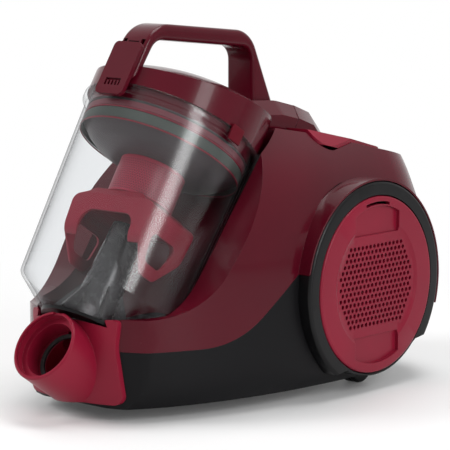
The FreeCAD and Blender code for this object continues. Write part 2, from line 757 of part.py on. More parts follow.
def riser_shape(grow):
    """Outside of the duct that leads from the inlet up to the bin."""
    axis_gap = inlet_axis_gap()
    corner = INLET_FRAME.multVec(Vector(0, 0, -axis_gap))
    radius = float(S.throat_bore) + float(S.duct_wall) + grow
    ball = Part.makeSphere(radius, corner)
    run = Part.makeCylinder(radius, axis_gap, corner, INLET_FRAME.Rotation.multVec(AXIS_Z))
    up = BIN_FRAME.Rotation.multVec(AXIS_Z)
    riser_length = (BIN_FRAME.multVec(vec(0, 0, -S.cradle_depth)) - corner).Length
    riser = Part.makeCylinder(float(S.riser_bore) + float(S.duct_wall) + grow,
                              riser_length + grow, corner, up)
    socket = Part.makeCylinder(float(S.socket_bore) + float(S.duct_wall) + grow,
                               inlet_floor() + float(S.duct_wall) + grow)
    socket.Placement = INLET_FRAME.multiply(Placement(Vector(), turned(AXIS_X, 180)))
    return ball.fuse([run, riser, socket])


def inlet_floor():
    """Depth of the seal seat's floor below the inlet mouth."""
    return float(S.mouth_depth) + float(S.socket_depth) + float(S.seal_relief) + float(S.seal_height)


def inlet_axis_gap():
    """Distance from the inlet mouth back to the point nearest the bin's axis."""
    mouth = BIN_FRAME.inverse().multVec(vec(0, S.inlet_y, S.inlet_z))
    return -mouth.y / math.cos(math.radians(float(S.inlet_rise) - float(S.bin_lean)))


keep(shaped("upper_shell", make_upper_shell()), "upper_shell")
keep(shaped("base_housing", make_base_housing()), "base_housing")

# --------------------------------------------------------------------- inlet

def make_inlet():
    """Hose inlet: stepped mouth, face plate and the duct that turns up under the bin."""
    mouth = float(S.mouth_depth)
    socket = mouth + float(S.socket_depth)
    axis_gap = inlet_axis_gap()
    tube = turned_shape([(0, 0), (S.inlet_radius - 1, 0), (S.inlet_radius, -1),
                         (S.inlet_radius, -70), (0, -70)], INLET_FRAME)
    reach = float(S.plate_half_width)
    front = float(S.front_face_y)
    above = Part.makeBox(200, 200, 200, Vector(-100, front - 100, 14))
    ahead = ahead_of_bow(0).common(above)
    plate = front_block([(-reach, S.nose_top_z, 4), (-reach + 2.6, 58, 30), (-reach - 3.7, 14, 7),
                         (reach + 3.7, 14, 7), (reach - 2.6, 58, 30), (reach, S.nose_top_z, 4)],
                        front - 10, front + 14)
    plate = plate.common(ahead).cut(ahead_of_bow(float(S.plate_thickness)))
    body = tube.common(ahead).fuse([plate, riser_shape(0)])
    seat = socket + float(S.seal_relief)
    floor = inlet_floor()
    bore = turned_shape([(0, 1), (S.mouth_bore, 1), (S.mouth_bore, -mouth), (S.socket_bore, -mouth),
                         (S.socket_bore, -socket), (S.socket_bore + 0.5, -socket),
                         (S.socket_bore + 0.5, -seat), (S.seal_radius, -seat),
                         (S.seal_radius, -floor), (S.throat_bore, -floor),
                         (S.throat_bore, -axis_gap), (0, -axis_gap)], INLET_FRAME)
    corner = INLET_FRAME.multVec(Vector(0, 0, -axis_gap))
    elbow = Part.makeSphere(float(S.throat_bore), corner)
    up = BIN_FRAME.Rotation.multVec(AXIS_Z)
    riser = Part.makeCylinder(float(S.riser_bore), 80, corner, up)
    body = body.cut([bore, elbow, riser, cradle(0)])
    rim = turned_shape([(S.mouth_bore, -2), (S.mouth_bore, -3), (S.mouth_bore + 0.8, -3),
                        (S.mouth_bore + 0.8, -2)], INLET_FRAME)
    slits = [Part.makeBox(9, 2.4, 3, Vector(-4.5, float(S.mouth_bore) - 0.4, -1.8))]
    slits[0].Placement = INLET_FRAME.multiply(slits[0].Placement)
    return body.cut([rim] + slits)


keep(shaped("inlet_collar", make_inlet()), "inlet_collar")

seal_floor = -inlet_floor()
keep(turned_body("inlet_seal", INLET_FRAME, [
    (S.throat_bore + 0.6, seal_floor), (S.seal_radius - 0.1, seal_floor),
    (S.seal_radius - 0.1, seal_floor + 2.4), (S.throat_bore + 0.6, seal_floor + 2.0),
]), "inlet_seal")

keep(turned_body("duct_seal", BIN_FRAME, [
    (S.riser_bore + 0.1, -S.cradle_depth), (S.riser_bore + 3.6, -S.cradle_depth),
    (S.riser_bore + 2.6, -S.bin_depth), (S.riser_bore + 0.1, -S.bin_depth),
]), "duct_seal")

# ------------------------------------------------------------------ dust bin

lip_half = S.lip_height / 2
floor_top = S.bin_floor - S.bin_depth
keep(turned_body("dust_bin", BIN_FRAME, [
    (S.lip_radius, lip_half), (S.lip_radius, -lip_half), (S.bin_top_radius, -lip_half),
    (S.bin_low_radius, -S.bin_taper_depth), (S.bin_foot_radius, -S.bin_depth),
    (S.riser_bore, -S.bin_depth), (S.riser_bore, floor_top),
    (S.bin_foot_radius - 1.4, floor_top), (S.bin_low_radius - S.bin_wall, 1.2 - S.bin_taper_depth),
    (S.bin_top_radius - S.bin_wall, -lip_half), (S.bin_top_radius - S.bin_wall, lip_half),
]), "dust_bin")

keep(turned_body("bin_base_ring", BIN_FRAME, [
    (S.bin_foot_radius, -S.bin_depth), (S.bin_foot_radius - 14, -S.bin_depth),
    (S.bin_foot_radius - 14, -(S.bin_depth + S.base_ring_height)),
    (S.bin_foot_radius - 1, -(S.bin_depth + S.base_ring_height)),
]), "bin_base_ring")

column_bore = S.column_radius - S.column_wall
column = turned_body("column_tube", BIN_FRAME, [
    (S.column_radius, -S.column_top), (S.column_radius + 3, -S.bin_depth + 40),
    (S.column_radius + 5, floor_top + 12), (S.column_foot_radius, floor_top),
    (S.riser_bore, floor_top), (column_bore, floor_top + 6), (column_bore, -S.column_top),
])
vanes = []
for turn in range(6):
    vane_frame = BIN_FRAME.multiply(Placement(Vector(), turned(AXIS_Z, 60 * turn + 30)))
    vane = document.addObject("Part::Wedge", f"column_vane_{turn}")
    vane.Placement = vane_frame.multiply(
        Placement(vec(0, 0.9, floor_top), turned(AXIS_X, 90)))
    bind(vane, Xmin=S.column_radius, Xmax=S.vane_reach, Ymin=0, Ymax=S.vane_height,
         Zmin=0, Zmax=1.8, X2min=S.column_radius, X2max=S.column_radius + 3.5, Z2min=0, Z2max=1.8)
    vanes.append(vane)
keep(join("intake_column", [column] + vanes), "intake_column")

# ------------------------------------------------------------------ cyclone

mesh = turned_body("mesh_sleeve", BIN_FRAME, [
    (S.mesh_radius, -S.plate_depth), (S.mesh_radius, -S.mesh_end),
    (S.mesh_radius - S.mesh_wall - 2, -S.mesh_end),
    (S.mesh_radius - S.mesh_wall - 2, 1.6 - S.mesh_end),
    (S.mesh_radius - S.mesh_wall, 1.6 - S.mesh_end), (S.mesh_radius - S.mesh_wall, -S.plate_depth),
])
holes = []
for row in range(3):
    for turn in range(12):
        angle = 30 * turn + 15 * (row % 2)
        hole_frame = BIN_FRAME.multiply(Placement(vec(0, 0, -S.plate_depth - 6 - 7.5 * row),
                                                  turned(AXIS_Z, angle)))
        holes.append(box(f"mesh_slot_{row}_{turn}", (S.mesh_radius - 4, -1.6, -2.6),
                         (S.mesh_radius + 1, 1.6, 2.6), hole_frame))
keep(cut("mesh_tube", mesh, holes), "mesh_tube")

plate_rim = S.plate_radius - S.plate_wall
keep(turned_body("separator_plate", BIN_FRAME, [
    (S.plate_radius, -9), (S.plate_radius, -19), (60, -25.5), (52, -31), (40, -34.2),
    (28, -S.plate_depth), (20, -S.plate_depth), (20, 2.2 - S.plate_depth), (28, 2 - S.plate_depth),
    (39.6, -32), (51, -28.8), (58.8, -23.6), (plate_rim, -18), (plate_rim, -9),
]), "separator_plate")

keep(turned_body("foam_filter", BIN_FRAME, [
    (S.plate_radius - 9, -9.5), (S.plate_radius - 9, -24.3), (50.4, -28.9), (39.5, -31.8),
    (28, 2 - S.plate_depth), (20.5, 2.2 - S.plate_depth), (20.5, -9.5),
]), "foam_filter")

keep(turned_body("bin_seal", BIN_FRAME, [
    (S.plate_radius - 3.4, -S.skirt_depth), (S.plate_radius - 3.4, -9), (S.plate_radius + 0.4, -9),
    (S.plate_radius + 1.0, -8.2), (S.plate_radius + 1.0, -7.2), (S.plate_radius + 0.4, -S.skirt_depth),
]), "bin_seal")


def hood_block(inset):
    """The hood's outer or inner form: domed top, sides that close in, legs with rounded tips."""
    top = -float(S.mesh_end) - inset
    low = top - float(S.hood_height) - (4 if inset else 0)
    wide = float(S.hood_half_width) - inset
    narrow = float(S.hood_low_half_width) - inset
    deep = float(S.hood_half_depth) - inset
    tip = float(S.hood_tip)
    seat = 25.0
    front = front_block([(-narrow, low, 0), (-wide, top - 8.5, 7), (-wide + 13, top - 4.5, 20),
                         (-seat, top, 4), (seat, top, 4), (wide - 13, top - 4.5, 20),
                         (wide, top - 8.5, 7), (narrow, low, 0)], -80, 80)
    side = side_block([(-tip, low, 6), (-deep, top - 36, 14), (-deep, top - 5.5, 5), (-seat, top, 0),
                       (seat, top, 0), (deep, top - 5.5, 5), (deep, top - 36, 14), (tip, low, 6)],
                      -80, 80)
    return front.common(side)


def make_hood():
    """Cyclone hood: a hollow bridge under the perforated tube, with an arch and two legs."""
    top = -float(S.mesh_end)
    wide = float(S.arch_half_width)
    crown = top - float(S.arch_top)
    arch = front_block([(-wide, top - 80, 0), (-wide, crown, 12), (wide, crown, 12),
                        (wide, top - 80, 0)], -80, 80)
    half = float(S.window_half_width)
    window = side_block([(-half + 6, top - 50, 6), (-half, top - 27, 5), (half, top - 27, 5),
                         (half - 6, top - 50, 6)], -80, 80)
    neck = Part.makeCylinder(float(S.mesh_radius) - 4.4, 20, vec(0, 0, top - 14))
    hood = hood_block(0).cut([hood_block(float(S.hood_wall)), arch, window, neck])
    hood.Placement = BIN_FRAME
    return hood


keep(shaped("cyclone_hood", make_hood()), "cyclone_hood")

# ----------------------------------------------------------- lid and handle

RIM_FRAME = BIN_FRAME.multiply(Placement(vec(0, 0, S.lid_rim_height), turned(AXIS_X, S.lid_turn)))
dome_radius = (S.lid_radius * S.lid_radius + S.dome_height * S.dome_height) / (S.dome_height * 2)
lid_foot = lip_half + S.lid_gap


def lid_solid(name, inset, foot):
    """The lid as a full drum under its tilted dome."""
    drum = cylinder(name + "_drum", S.lid_radius - inset, foot, 90, BIN_FRAME)
    dome = sphere(name + "_dome", dome_radius - inset, (0, 0, S.dome_height - dome_radius), RIM_FRAME)
    return meet(name, drum, dome)


def tail_shape(inset, floor):
    """The lid's tail: a chamfered bar that ends on the sloping parting line."""
    lean = math.tan(math.radians(float(S.bin_lean)))
    drop = 20.6 - floor
    end_y = float(S.tail_end_y) - inset
    end_z = float(S.tail_end_z) - inset
    half = float(S.tail_half_width) - inset
    block = side_block([
        (-10, 236 - inset, 0), (66, float(S.tail_top_z) - inset, 40), (end_y, end_z, 0),
        (end_y - lean * drop, end_z - drop + inset, 0), (52, 210.6 + floor, 0),
        (22, 213 + floor, 0), (-10, 213 + floor, 0),
    ], -half, half)
    edges = [edge for edge in block.Edges
             if len(edge.Vertexes) == 2 and edge.CenterOfMass.z > 222 - inset
             and edge.CenterOfMass.y < end_y - 1 and edge.CenterOfMass.y > -9
             and abs(abs(edge.CenterOfMass.x) - half) < 1e-6]
    return block.makeChamfer(float(S.tail_chamfer) * 0.8, edges)


def make_lid():
    """Domed lid with its skirt, hollow tail and the flat land of the latch."""
    document.recompute()
    drum = lid_outer.Shape.fuse(tail_shape(0, 0).cut(lid_plug.Shape))
    hollow_room = lid_inner.Shape.fuse(tail_shape(float(S.lid_wall), float(S.lid_wall)))
    floor = turned_shape([(S.lid_radius, lid_foot), (S.plate_radius + 1, lid_foot),
                          (S.plate_radius + 1, -S.skirt_depth), (S.plate_radius - 1, -S.skirt_depth),
                          (S.plate_radius - 1, lid_foot + 2.2), (S.lid_radius, lid_foot + 2.2)],
                         BIN_FRAME)
    port = Part.makeBox(32, 30, 9, vec(-16, 66, 211.5))
    return drum.cut(hollow_room).fuse(floor).cut(port)


lid_outer = lid_solid("lid_outer", 0, lid_foot)
lid_inner = lid_solid("lid_inner", S.lid_wall, lid_foot - 1)
lid_plug = cylinder("lid_plug", S.lip_radius + 1.2, -60, lid_foot, BIN_FRAME)
bin_lid = keep(shaped("bin_lid", make_lid()), "bin_lid")


def bin_point(height, reach):
    """(y, z) of a point in the middle plane by its height on the bin axis and reach forward."""
    point = BIN_FRAME.multVec(Vector(0, -float(reach), float(height)))
    return point.y, point.z


leg_face = 74.0
HANDLE = [
    (bin_point(3.6, leg_face), 0), (bin_point(55.6, leg_face), 31), ((46.0, 289.0), 27), ((76.0, 222.0), 0),
    ((47.5, 222.0), 0), ((47.5, 275.5), 13), ((-66.0, 287.0), 15), (bin_point(14, 66.4), 0),
]
handle_pad = padded_body("handle_bow", "YZ_Plane", [corner for corner, _ in HANDLE],
                         S.handle_half_width * 2)
bow_end = round_corners(handle_pad, handle_pad.Tip, "YZ_Plane",
                        [(radius, [corner]) for corner, radius in HANDLE if radius], "bow_corner")
pin_height = 32.5
pin_reach = 72.0
PIN_FRAME = BIN_FRAME.multiply(Placement(vec(0, -pin_reach, pin_height), turned(AXIS_Y, 90)))


def make_handle():
    """Carry handle: an arched strap with soft edges, seated on the lid and its tail."""
    document.recompute()
    bow = handle_pad.Shape
    edges = [edge for edge in bow.Edges
             if all(abs(abs(vertex.X) - float(S.handle_half_width)) < 1e-6 for vertex in edge.Vertexes)
             and abs(edge.Vertexes[0].X - edge.Vertexes[-1].X) < 1e-6
             and edge.CenterOfMass.z > 258]
    bow = bow.makeFillet(3.6, edges)
    tools = [lid_outer.Shape, tail_shape(0, 0)]
    for middle in (-9.5, 0, 9.5):
        half = 2.0 if middle else 5.6
        slot = Part.makeBox(2 * half, 8.5, 16, vec(middle - half, -pin_reach - 2.2, pin_height - 7.5))
        if not middle:
            slot = Part.makeBox(2 * half, 9, 13, vec(-half, -pin_reach - 4, pin_height - 6.5))
        slot.Placement = BIN_FRAME.multiply(slot.Placement)
        tools.append(slot)
    bore = Part.makeCylinder(float(S.latch_pin_radius), 26, Vector(0, 0, -13))
    bore.Placement = PIN_FRAME
    return bow.cut(tools + [bore])


keep(shaped("carry_handle", make_handle()), "carry_handle")


def make_latch():
    """Release latch: ribbed thumb plate with two ears and a hook that grips the bin's lip."""
    back = float(S.latch_back)
    front = back + float(S.latch_thickness)
    top = pin_height + 3.5
    foot = top - float(S.latch_length)
    plate = Part.makeBox(29, front - back, top - foot, Vector(-14.5, -front, foot))
    corners = [edge for edge in plate.Edges
               if abs(abs(edge.CenterOfMass.x) - 14.5) < 1e-6
               and abs(edge.Vertexes[0].Y - edge.Vertexes[1].Y) > 1]
    plate = plate.makeFillet(4, corners)
    hook = Part.makeBox(18, back - 71.6 + 0.6, 3, Vector(-9, -back - 0.6, -6.6))
    ears = [Part.makeBox(3.6, back - pin_reach + 3.0, 7, Vector(middle - 1.8, -back - 0.6,
                                                                pin_height - 3.5))
            for middle in (-9.5, 9.5)]
    bore = Part.makeCylinder(float(S.latch_pin_radius + S.running_gap), 30,
                             Vector(-15, -pin_reach, pin_height), AXIS_X)
    slot = Part.makeBox(16, 2.4, 6, Vector(-8, -front - 0.4, -2.5))
    teeth = [Part.makeBox(1.6, 2.4, 4.4, Vector(middle - 0.8, -front + 0.4, -2.5))
             for middle in (-5.4, -1.8, 1.8, 5.4)]
    latch = plate.fuse([hook] + ears).cut([bore, slot.cut(teeth)])
    latch.Placement = BIN_FRAME
    return latch


keep(shaped("release_latch", make_latch()), "release_latch")
keep(cylinder("latch_pin", S.latch_pin_radius, -13, 13, PIN_FRAME), "latch_pin")


def make_latch_spring():
    """Torsion spring round the latch pin."""
    spring = coil(2.0, 0.3, 1.3, 7.8)
    spring.Placement = PIN_FRAME.multiply(Placement(Vector(0, 0, -3.9), Rotation()))
    return spring


keep(shaped("latch_spring", make_latch_spring()), "latch_spring")

hook_parts = []
for side in (-1, 1):
    edge = S.lip_radius + 0.2
    sector = cylinder(f"hook_ring_{side}", S.lip_radius + 1.8, -lip_half - 4.5, lid_foot + 2, BIN_FRAME)
    window = box(f"hook_window_{side}", (side * 74 - 6, -12, -10), (side * 74 + 6, 1, 20), BIN_FRAME)
    bore = cylinder(f"hook_bore_{side}", edge, -10, lid_foot, BIN_FRAME)
    seat = cylinder(f"hook_seat_{side}", S.lid_radius, 0, 30, BIN_FRAME)
    hook_parts.append(cut(f"hook_{side}", meet(f"hook_block_{side}", sector, window), [bore, seat]))
keep(join("lid_catches", hook_parts), "lid_catches")

# ------------------------------------------------------------------- pedals

def make_pedal(side):
    """Foot pedal that follows the deck, hollow below, with a spring post and an arm."""
    proud = float(S.pedal_proud)
    sink = -float(S.pedal_sink)
    skin = plan_loft(-0.8 * proud)
    block = pedal_block(side, 0, proud, sink).common(skin)
    room = pedal_block(side, -2.6, proud - 3, sink - 5).common(plan_loft(3 - 0.8 * proud))
    pedal = block.cut(room)
    post_x = side * float(S.spring_x)
    seat_z = 190.0
    roof = deck_z(float(S.spring_y)) + proud - 2
    post = Part.makeCylinder(3.2, roof - 163, Vector(post_x, float(S.spring_y), 163))
    seat = Part.makeCylinder(6.8, roof - seat_z, Vector(post_x, float(S.spring_y), seat_z))
    arm_end = 173.2 if side > 0 else 166.3
    return pedal.fuse([post, seat, pedal_arm(side, 0, arm_end)])


def make_pedal_spring(side):
    """Compression spring between the shell's cup and the pedal's seat."""
    wire = float(S.spring_wire)
    low = float(S.cup_floor_z) + wire + 0.1
    spring = coil(float(S.spring_radius), wire, 3.0, 190.0 - low - wire - 0.1)
    spring.Placement = Placement(vec(side * float(S.spring_x), S.spring_y, low), Rotation())
    return spring


keep(shaped("power_pedal", make_pedal(1)), "power_pedal")
keep(shaped("rewind_pedal", make_pedal(-1)), "rewind_pedal")
keep(shaped("power_spring", make_pedal_spring(1)), "power_spring")
keep(shaped("rewind_spring", make_pedal_spring(-1)), "rewind_spring")

# -------------------------------------------------------- filter housings

def make_fender(side):
    """Black ring round a filter cover with the drum and the vented wall behind it."""
    near = float(S.fender_back_x)
    far = float(S.cover_face_x)
    inner = float(S.cover_radius + S.cover_gap)
    ring = across(S.fender_radius, near, far, S.cover_y, S.cover_z)
    edge = [edge for edge in ring.Edges if abs(edge.CenterOfMass.x - far) < 1e-6]
    ring = ring.makeFillet(3, edge).cut(fender_floor(0))
    drum = across(drum_radius(), near, far - 1, S.cover_y, S.cover_z)
    bore = across(inner, near + float(S.fender_wall), far + 1, S.cover_y, S.cover_z)
    fender = ring.fuse(drum).cut(bore)
    vents = []
    for row in range(-3, 4):
        for step in range(-3, 4):
            y = float(S.cover_y) + 13 * step
            z = float(S.cover_z) + 13 * row
            if math.hypot(13 * step, 13 * row) < 44:
                vents.append(across(4.2, near - 1, near + 5, y, z))
    fender = fender.cut(vents)
    return fender if side > 0 else fender.mirror(Vector(), AXIS_X)


def make_cover(side):
    """Twist-off filter cover: dished disc with a rim, honeycomb grille and two finger recesses."""
    face = float(S.cover_face_x)
    thick = float(S.cover_thickness)
    y, z = float(S.cover_y), float(S.cover_z)
    disc = across(S.cover_radius, face - thick, face + 1.0, y, z)
    rim = [edge for edge in disc.Edges if abs(edge.CenterOfMass.x - face - 1.0) < 1e-6]
    disc = disc.makeFillet(2.0, rim)
    room = across(S.cover_radius - 2.5, face - thick - 1, face - thick + 2.0, y, z)
    dish = turned_shape([(0, 0), (50, 0), (53, 1.6), (0, 1.6)], side_frame(1, y, z))
    dish.translate(Vector(face - 0.5, 0, 0))
    pitch = float(S.grille_pitch)
    grille = []
    for row in range(-12, 13):
        for step in range(-12, 13):
            hole_y = pitch * (step + 0.5 * (row % 2))
            hole_z = pitch * 0.9 * row
            inside = math.hypot(hole_y, hole_z) < float(S.grille_radius)
            if inside and abs(hole_z) < float(S.grille_half_height):
                grille.append(across(S.grille_hole_radius, face - thick - 1, face + 2,
                                     y + hole_y, z + hole_z))
    recesses = []
    for sign in (-1, 1):
        wedge = across(64, face - 2.2, face + 2, y, z).common(
            Part.makeBox(10, 56, 23, Vector(face - 3, y - 28, z + (41 if sign > 0 else -64))))
        recesses.append(wedge)
    slot = across(67.5, face - 6, face + 2, y, z).cut(across(65.2, face - 7, face + 3, y, z))
    slot = slot.common(Part.makeBox(20, 30, 40, Vector(face - 8, y - 15, z + 40)))
    cover = disc.cut(room).cut([dish] + recesses + [slot]).cut(grille)
    return cover if side > 0 else cover.mirror(Vector(), AXIS_X)


for side, word in ((1, "right"), (-1, "left")):
    keep(shaped(f"fender_{word}", make_fender(side)), f"fender_{word}")
    keep(shaped(f"filter_cover_{word}", make_cover(side)), f"filter_cover_{word}")
    filter_frame = side_frame(side, S.cover_y, S.cover_z)
    keep(cylinder(f"exhaust_filter_{word}", S.filter_radius, S.fender_back_x + S.fender_wall,
                  S.cover_face_x - S.cover_thickness - 0.3, filter_frame), f"exhaust_filter_{word}")

# ------------------------------------------------------------ running gear

for side, word in ((1, "right"), (-1, "left")):
    wheel_frame = side_frame(side, S.wheel_y, S.wheel_radius)
    half = S.wheel_width / 2
    near = S.wheel_x - half
    far = S.wheel_x + half
    bore = S.axle_radius + S.running_gap
    keep(turned_body(f"rear_wheel_{word}", wheel_frame, [
        (bore, near), (6, near), (6, near + 2), (S.wheel_radius - 4, near + 2),
        (S.wheel_radius - 3, near), (S.wheel_radius - 1.2, near), (S.wheel_radius, near + 1.2),
        (S.wheel_radius, far - 1.2), (S.wheel_radius - 1.2, far), (S.wheel_radius - 3, far),
        (S.wheel_radius - 4, far - 2), (6, far - 2), (6, far), (bore, far),
    ]), f"rear_wheel_{word}")
    keep(cylinder(f"rear_axle_{word}", S.axle_radius, near - 3.4, far + 3.4, wheel_frame),
         f"rear_axle_{word}")

stem_top = S.caster_roof_z + 6.0
fork_half = S.caster_width / 2 + 0.6
wheel_spot = S.caster_y + S.caster_trail


def make_caster_fork():
    """Swivel fork: a stem, a round crown and two cheeks."""
    y = float(S.caster_y)
    roof = float(S.caster_roof_z)
    crown_low = roof - 5.2
    stem = Part.makeCylinder(float(S.stem_radius), float(stem_top) - crown_low, Vector(0, y, crown_low))
    crown = Part.makeCylinder(15, 4.6, Vector(0, y, crown_low))
    cheeks = []
    for side in (-1, 1):
        low_x = float(fork_half) if side > 0 else -float(fork_half) - 3
        plate = Part.makeBox(3, 12, crown_low + 1 - 6.5, Vector(low_x, float(wheel_spot) - 6, 6.5))
        cheeks.append(plate)
    axle = across(1.5, -12, 12, wheel_spot, S.caster_radius)
    return stem.fuse([crown] + cheeks).cut(axle)


keep(shaped("caster_fork", make_caster_fork()), "caster_fork")
CASTER_FRAME = side_frame(1, wheel_spot, S.caster_radius)
caster_half = S.caster_width / 2
keep(turned_body("caster_wheel", CASTER_FRAME, [
    (1.5 + S.running_gap, -caster_half), (S.caster_radius - 1.5, -caster_half),
    (S.caster_radius, 1.5 - caster_half), (S.caster_radius, caster_half - 1.5),
    (S.caster_radius - 1.5, caster_half), (1.5 + S.running_gap, caster_half),
]), "caster_wheel")
keep(cylinder("caster_axle", 1.5, -fork_half - 2.6, fork_half + 2.6, CASTER_FRAME), "caster_axle")

# --------------------------------------------------------------------- motor

MOTOR = side_frame(1, S.motor_y, S.motor_z)
motor_inner = S.motor_radius - S.motor_wall
web = S.motor_left_x + 20
lid_x = S.motor_right_x - 12
brush_bearing = S.motor_right_x - 8


def make_motor_housing():
    """Motor can: a tube with the bearing web at its fan end."""
    can = turned_shape([(motor_inner, web), (S.motor_radius, web), (S.motor_radius, lid_x),
                        (motor_inner, lid_x), (motor_inner, web + 2.6), (S.bearing_radius + 3, web + 2.6),
                        (S.bearing_radius + 3, web + 5), (S.bearing_radius, web + 5),
                        (S.bearing_radius, web)], MOTOR)
    windows = []
    for turn in range(6):
        angle = math.radians(60 * turn)
        y = float(S.motor_y) + 30 * math.cos(angle)
        z = float(S.motor_z) + 30 * math.sin(angle)
        windows.append(across(8, float(web) - 1, float(web) + 4, y, z))
    return can.cut(windows)


def make_end_cap():
    """Brush-end cap with its bearing seat and vents."""
    cap = turned_shape([(S.motor_radius, lid_x), (S.motor_radius, S.motor_right_x),
                        (S.bearing_radius - 3, S.motor_right_x),
                        (S.bearing_radius - 3, S.motor_right_x - 3), (S.bearing_radius, S.motor_right_x - 3),
                        (S.bearing_radius, brush_bearing), (S.bearing_radius + 3, brush_bearing),
                        (S.bearing_radius + 3, S.motor_right_x - 3), (motor_inner, S.motor_right_x - 3),
                        (motor_inner, lid_x)], MOTOR)
    windows = []
    for turn in range(8):
        angle = math.radians(45 * turn + 22.5)
        y = float(S.motor_y) + 29 * math.cos(angle)
        z = float(S.motor_z) + 29 * math.sin(angle)
        windows.append(across(6, float(S.motor_right_x) - 5, float(S.motor_right_x) + 2, y, z))
    return cap.cut(windows)


keep(shaped("motor_housing", make_motor_housing()), "motor_housing")
keep(shaped("motor_end_cap", make_end_cap()), "motor_end_cap")
keep(turned_body("fan_shroud", MOTOR, [
    (16, S.motor_left_x), (S.motor_radius - 4, S.motor_left_x), (S.motor_radius, S.motor_left_x + 4),
    (S.motor_radius, web), (motor_inner, web), (motor_inner, S.motor_left_x + 5),
    (S.motor_radius - 5, S.motor_left_x + 2.6), (16, S.motor_left_x + 2.6),
]), "fan_shroud")
fan_disc = turned_body("fan_disc", MOTOR, [
    (S.shaft_radius, S.motor_left_x + 6), (7, S.motor_left_x + 6), (8, web - 4.6),
    (S.fan_radius, web - 4.6), (S.fan_radius, web - 3), (S.shaft_radius, web - 3),
])
blades = []
for turn in range(9):
    blade_frame = MOTOR.multiply(Placement(Vector(), turned(AXIS_Z, 40 * turn)))
    blades.append(box(f"fan_blade_{turn}", (6, 2, S.motor_left_x + 6.5),
                      (S.fan_radius - 0.5, 3.4, web - 4), blade_frame))
keep(join("fan_impeller", [fan_disc] + blades), "fan_impeller")
keep(cylinder("motor_shaft", S.shaft_radius, S.motor_left_x + 4, brush_bearing + S.bearing_width,
              MOTOR), "motor_shaft")
rings = []
for index, start in enumerate((web, brush_bearing)):
    rings.append(turned_body(f"bearing_{index}", MOTOR, [
        (S.shaft_radius + S.running_gap, start), (S.bearing_radius, start),
        (S.bearing_radius, start + S.bearing_width),
        (S.shaft_radius + S.running_gap, start + S.bearing_width),
    ]))
keep(join("motor_bearings", rings), "motor_bearings")
keep(turned_body("motor_armature", MOTOR, [
    (S.shaft_radius, web + 10), (12, web + 10), (S.armature_radius, web + 14),
    (S.armature_radius, web + 38), (12, web + 42), (11, lid_x - 2.5), (11, lid_x + 3),
    (S.shaft_radius, lid_x + 3),
]), "motor_armature")
field = turned_body("field_ring", MOTOR, [
    (S.stator_bore, web + 13), (motor_inner, web + 13), (motor_inner, web + 39),
    (S.stator_bore, web + 39),
])
field_slots = [box(f"field_slot_{sign}", (-14, sign * 37 - 8, web + 12), (14, sign * 37 + 8, web + 40),
                   MOTOR) for sign in (-1, 1)]
keep(cut("motor_stator", field, field_slots), "motor_stator")
brushes = [box(f"brush_{sign}", (-3, 18.8 * sign - 7.6, lid_x - 1.5), (3, 18.8 * sign + 7.6, lid_x + 2),
               MOTOR) for sign in (-1, 1)]
holders = [box(f"brush_holder_{sign}", (-5, 34.8 * sign - 8.6, lid_x - 3), (5, 34.8 * sign + 8.6, lid_x + 4),
               MOTOR) for sign in (-1, 1)]
keep(join("motor_brushes", brushes + holders), "motor_brushes")
cuffs = [turned_body(f"motor_cuff_{index}", MOTOR, [
    (S.motor_radius, start), (S.motor_radius + S.mount_thickness, start),
    (S.motor_radius + S.mount_thickness, start + S.mount_width), (S.motor_radius, start + S.mount_width),
]) for index, start in enumerate((S.motor_left_x + 4, S.motor_right_x - 10))]
keep(join("motor_mounts", cuffs), "motor_mounts")

# ----------------------------------------------------------------- cord reel

REEL = side_frame(1, S.reel_y, S.reel_z)
inner_face = S.reel_inner_x
outer_face = S.reel_outer_x
reel_bore = S.reel_axle_radius + S.running_gap
keep(turned_body("cord_reel", REEL, [
    (reel_bore, outer_face), (S.reel_radius, outer_face), (S.reel_radius, outer_face + S.reel_flange),
    (S.reel_core, outer_face + S.reel_flange), (S.reel_core, inner_face - S.reel_flange),
    (S.reel_radius, inner_face - S.reel_flange), (S.reel_radius, inner_face), (reel_bore, inner_face),
]), "cord_reel")
keep(cylinder("reel_axle", S.reel_axle_radius, outer_face - 10, S.bracket_x, REEL), "reel_axle")
keep(turned_body("reel_spring_case", REEL, [
    (S.reel_axle_radius, outer_face - 9), (32, outer_face - 9), (32, outer_face - 1),
    (29.5, outer_face - 1), (29.5, outer_face - 7), (S.reel_axle_radius, outer_face - 7),
]), "reel_spring_case")


def make_brake():
    """Brake lever: a bar over its pin with a shoe on the reel's rim."""
    left, right = -46.5, -42.2
    y, z = float(S.brake_y), float(S.brake_z)
    bar = side_block([
        (y - 18, z - 2.5, 1), (y - 18, z + 2.5, 1), (y - 5, z + 4, 0), (y + 19, z + 4, 1),
        (y + 19, z - 4.4, 1), (y, z - 4.4, 0),
    ], left, right)
    shoe = Part.makeBox(right - left, 6, 9, Vector(left, y - 19, z - 8))
    rim = across(S.reel_radius + 0.3, left - 1, right + 1, S.reel_y, S.reel_z)
    bore = across(S.brake_pin_radius + S.running_gap, left - 1, right + 1, y, z)
    return bar.fuse(shoe).cut([rim, bore])


keep(shaped("brake_lever", make_brake()), "brake_lever")
pin_frame = side_frame(1, S.brake_y, S.brake_z)
keep(cylinder("brake_pin", S.brake_pin_radius, -48, S.bracket_x - 0.4, pin_frame), "brake_pin")

# --------------------------------------------------------- outlet and wiring

OUTLET = Placement(vec(S.outlet_x, S.rear_y + 0.2, S.outlet_z), turned(AXIS_X, -90))
keep(turned_body("cord_outlet", OUTLET, [
    (S.outlet_bore, 3), (S.outlet_body + 2, 3), (S.outlet_body + 3.5, 1.6), (S.outlet_body + 3.5, 0),
    (S.outlet_body, 0), (S.outlet_body, -9), (S.outlet_bore + 1.4, -9), (S.outlet_bore + 1.4, 0),
    (S.outlet_bore, 0.4),
]), "cord_outlet")

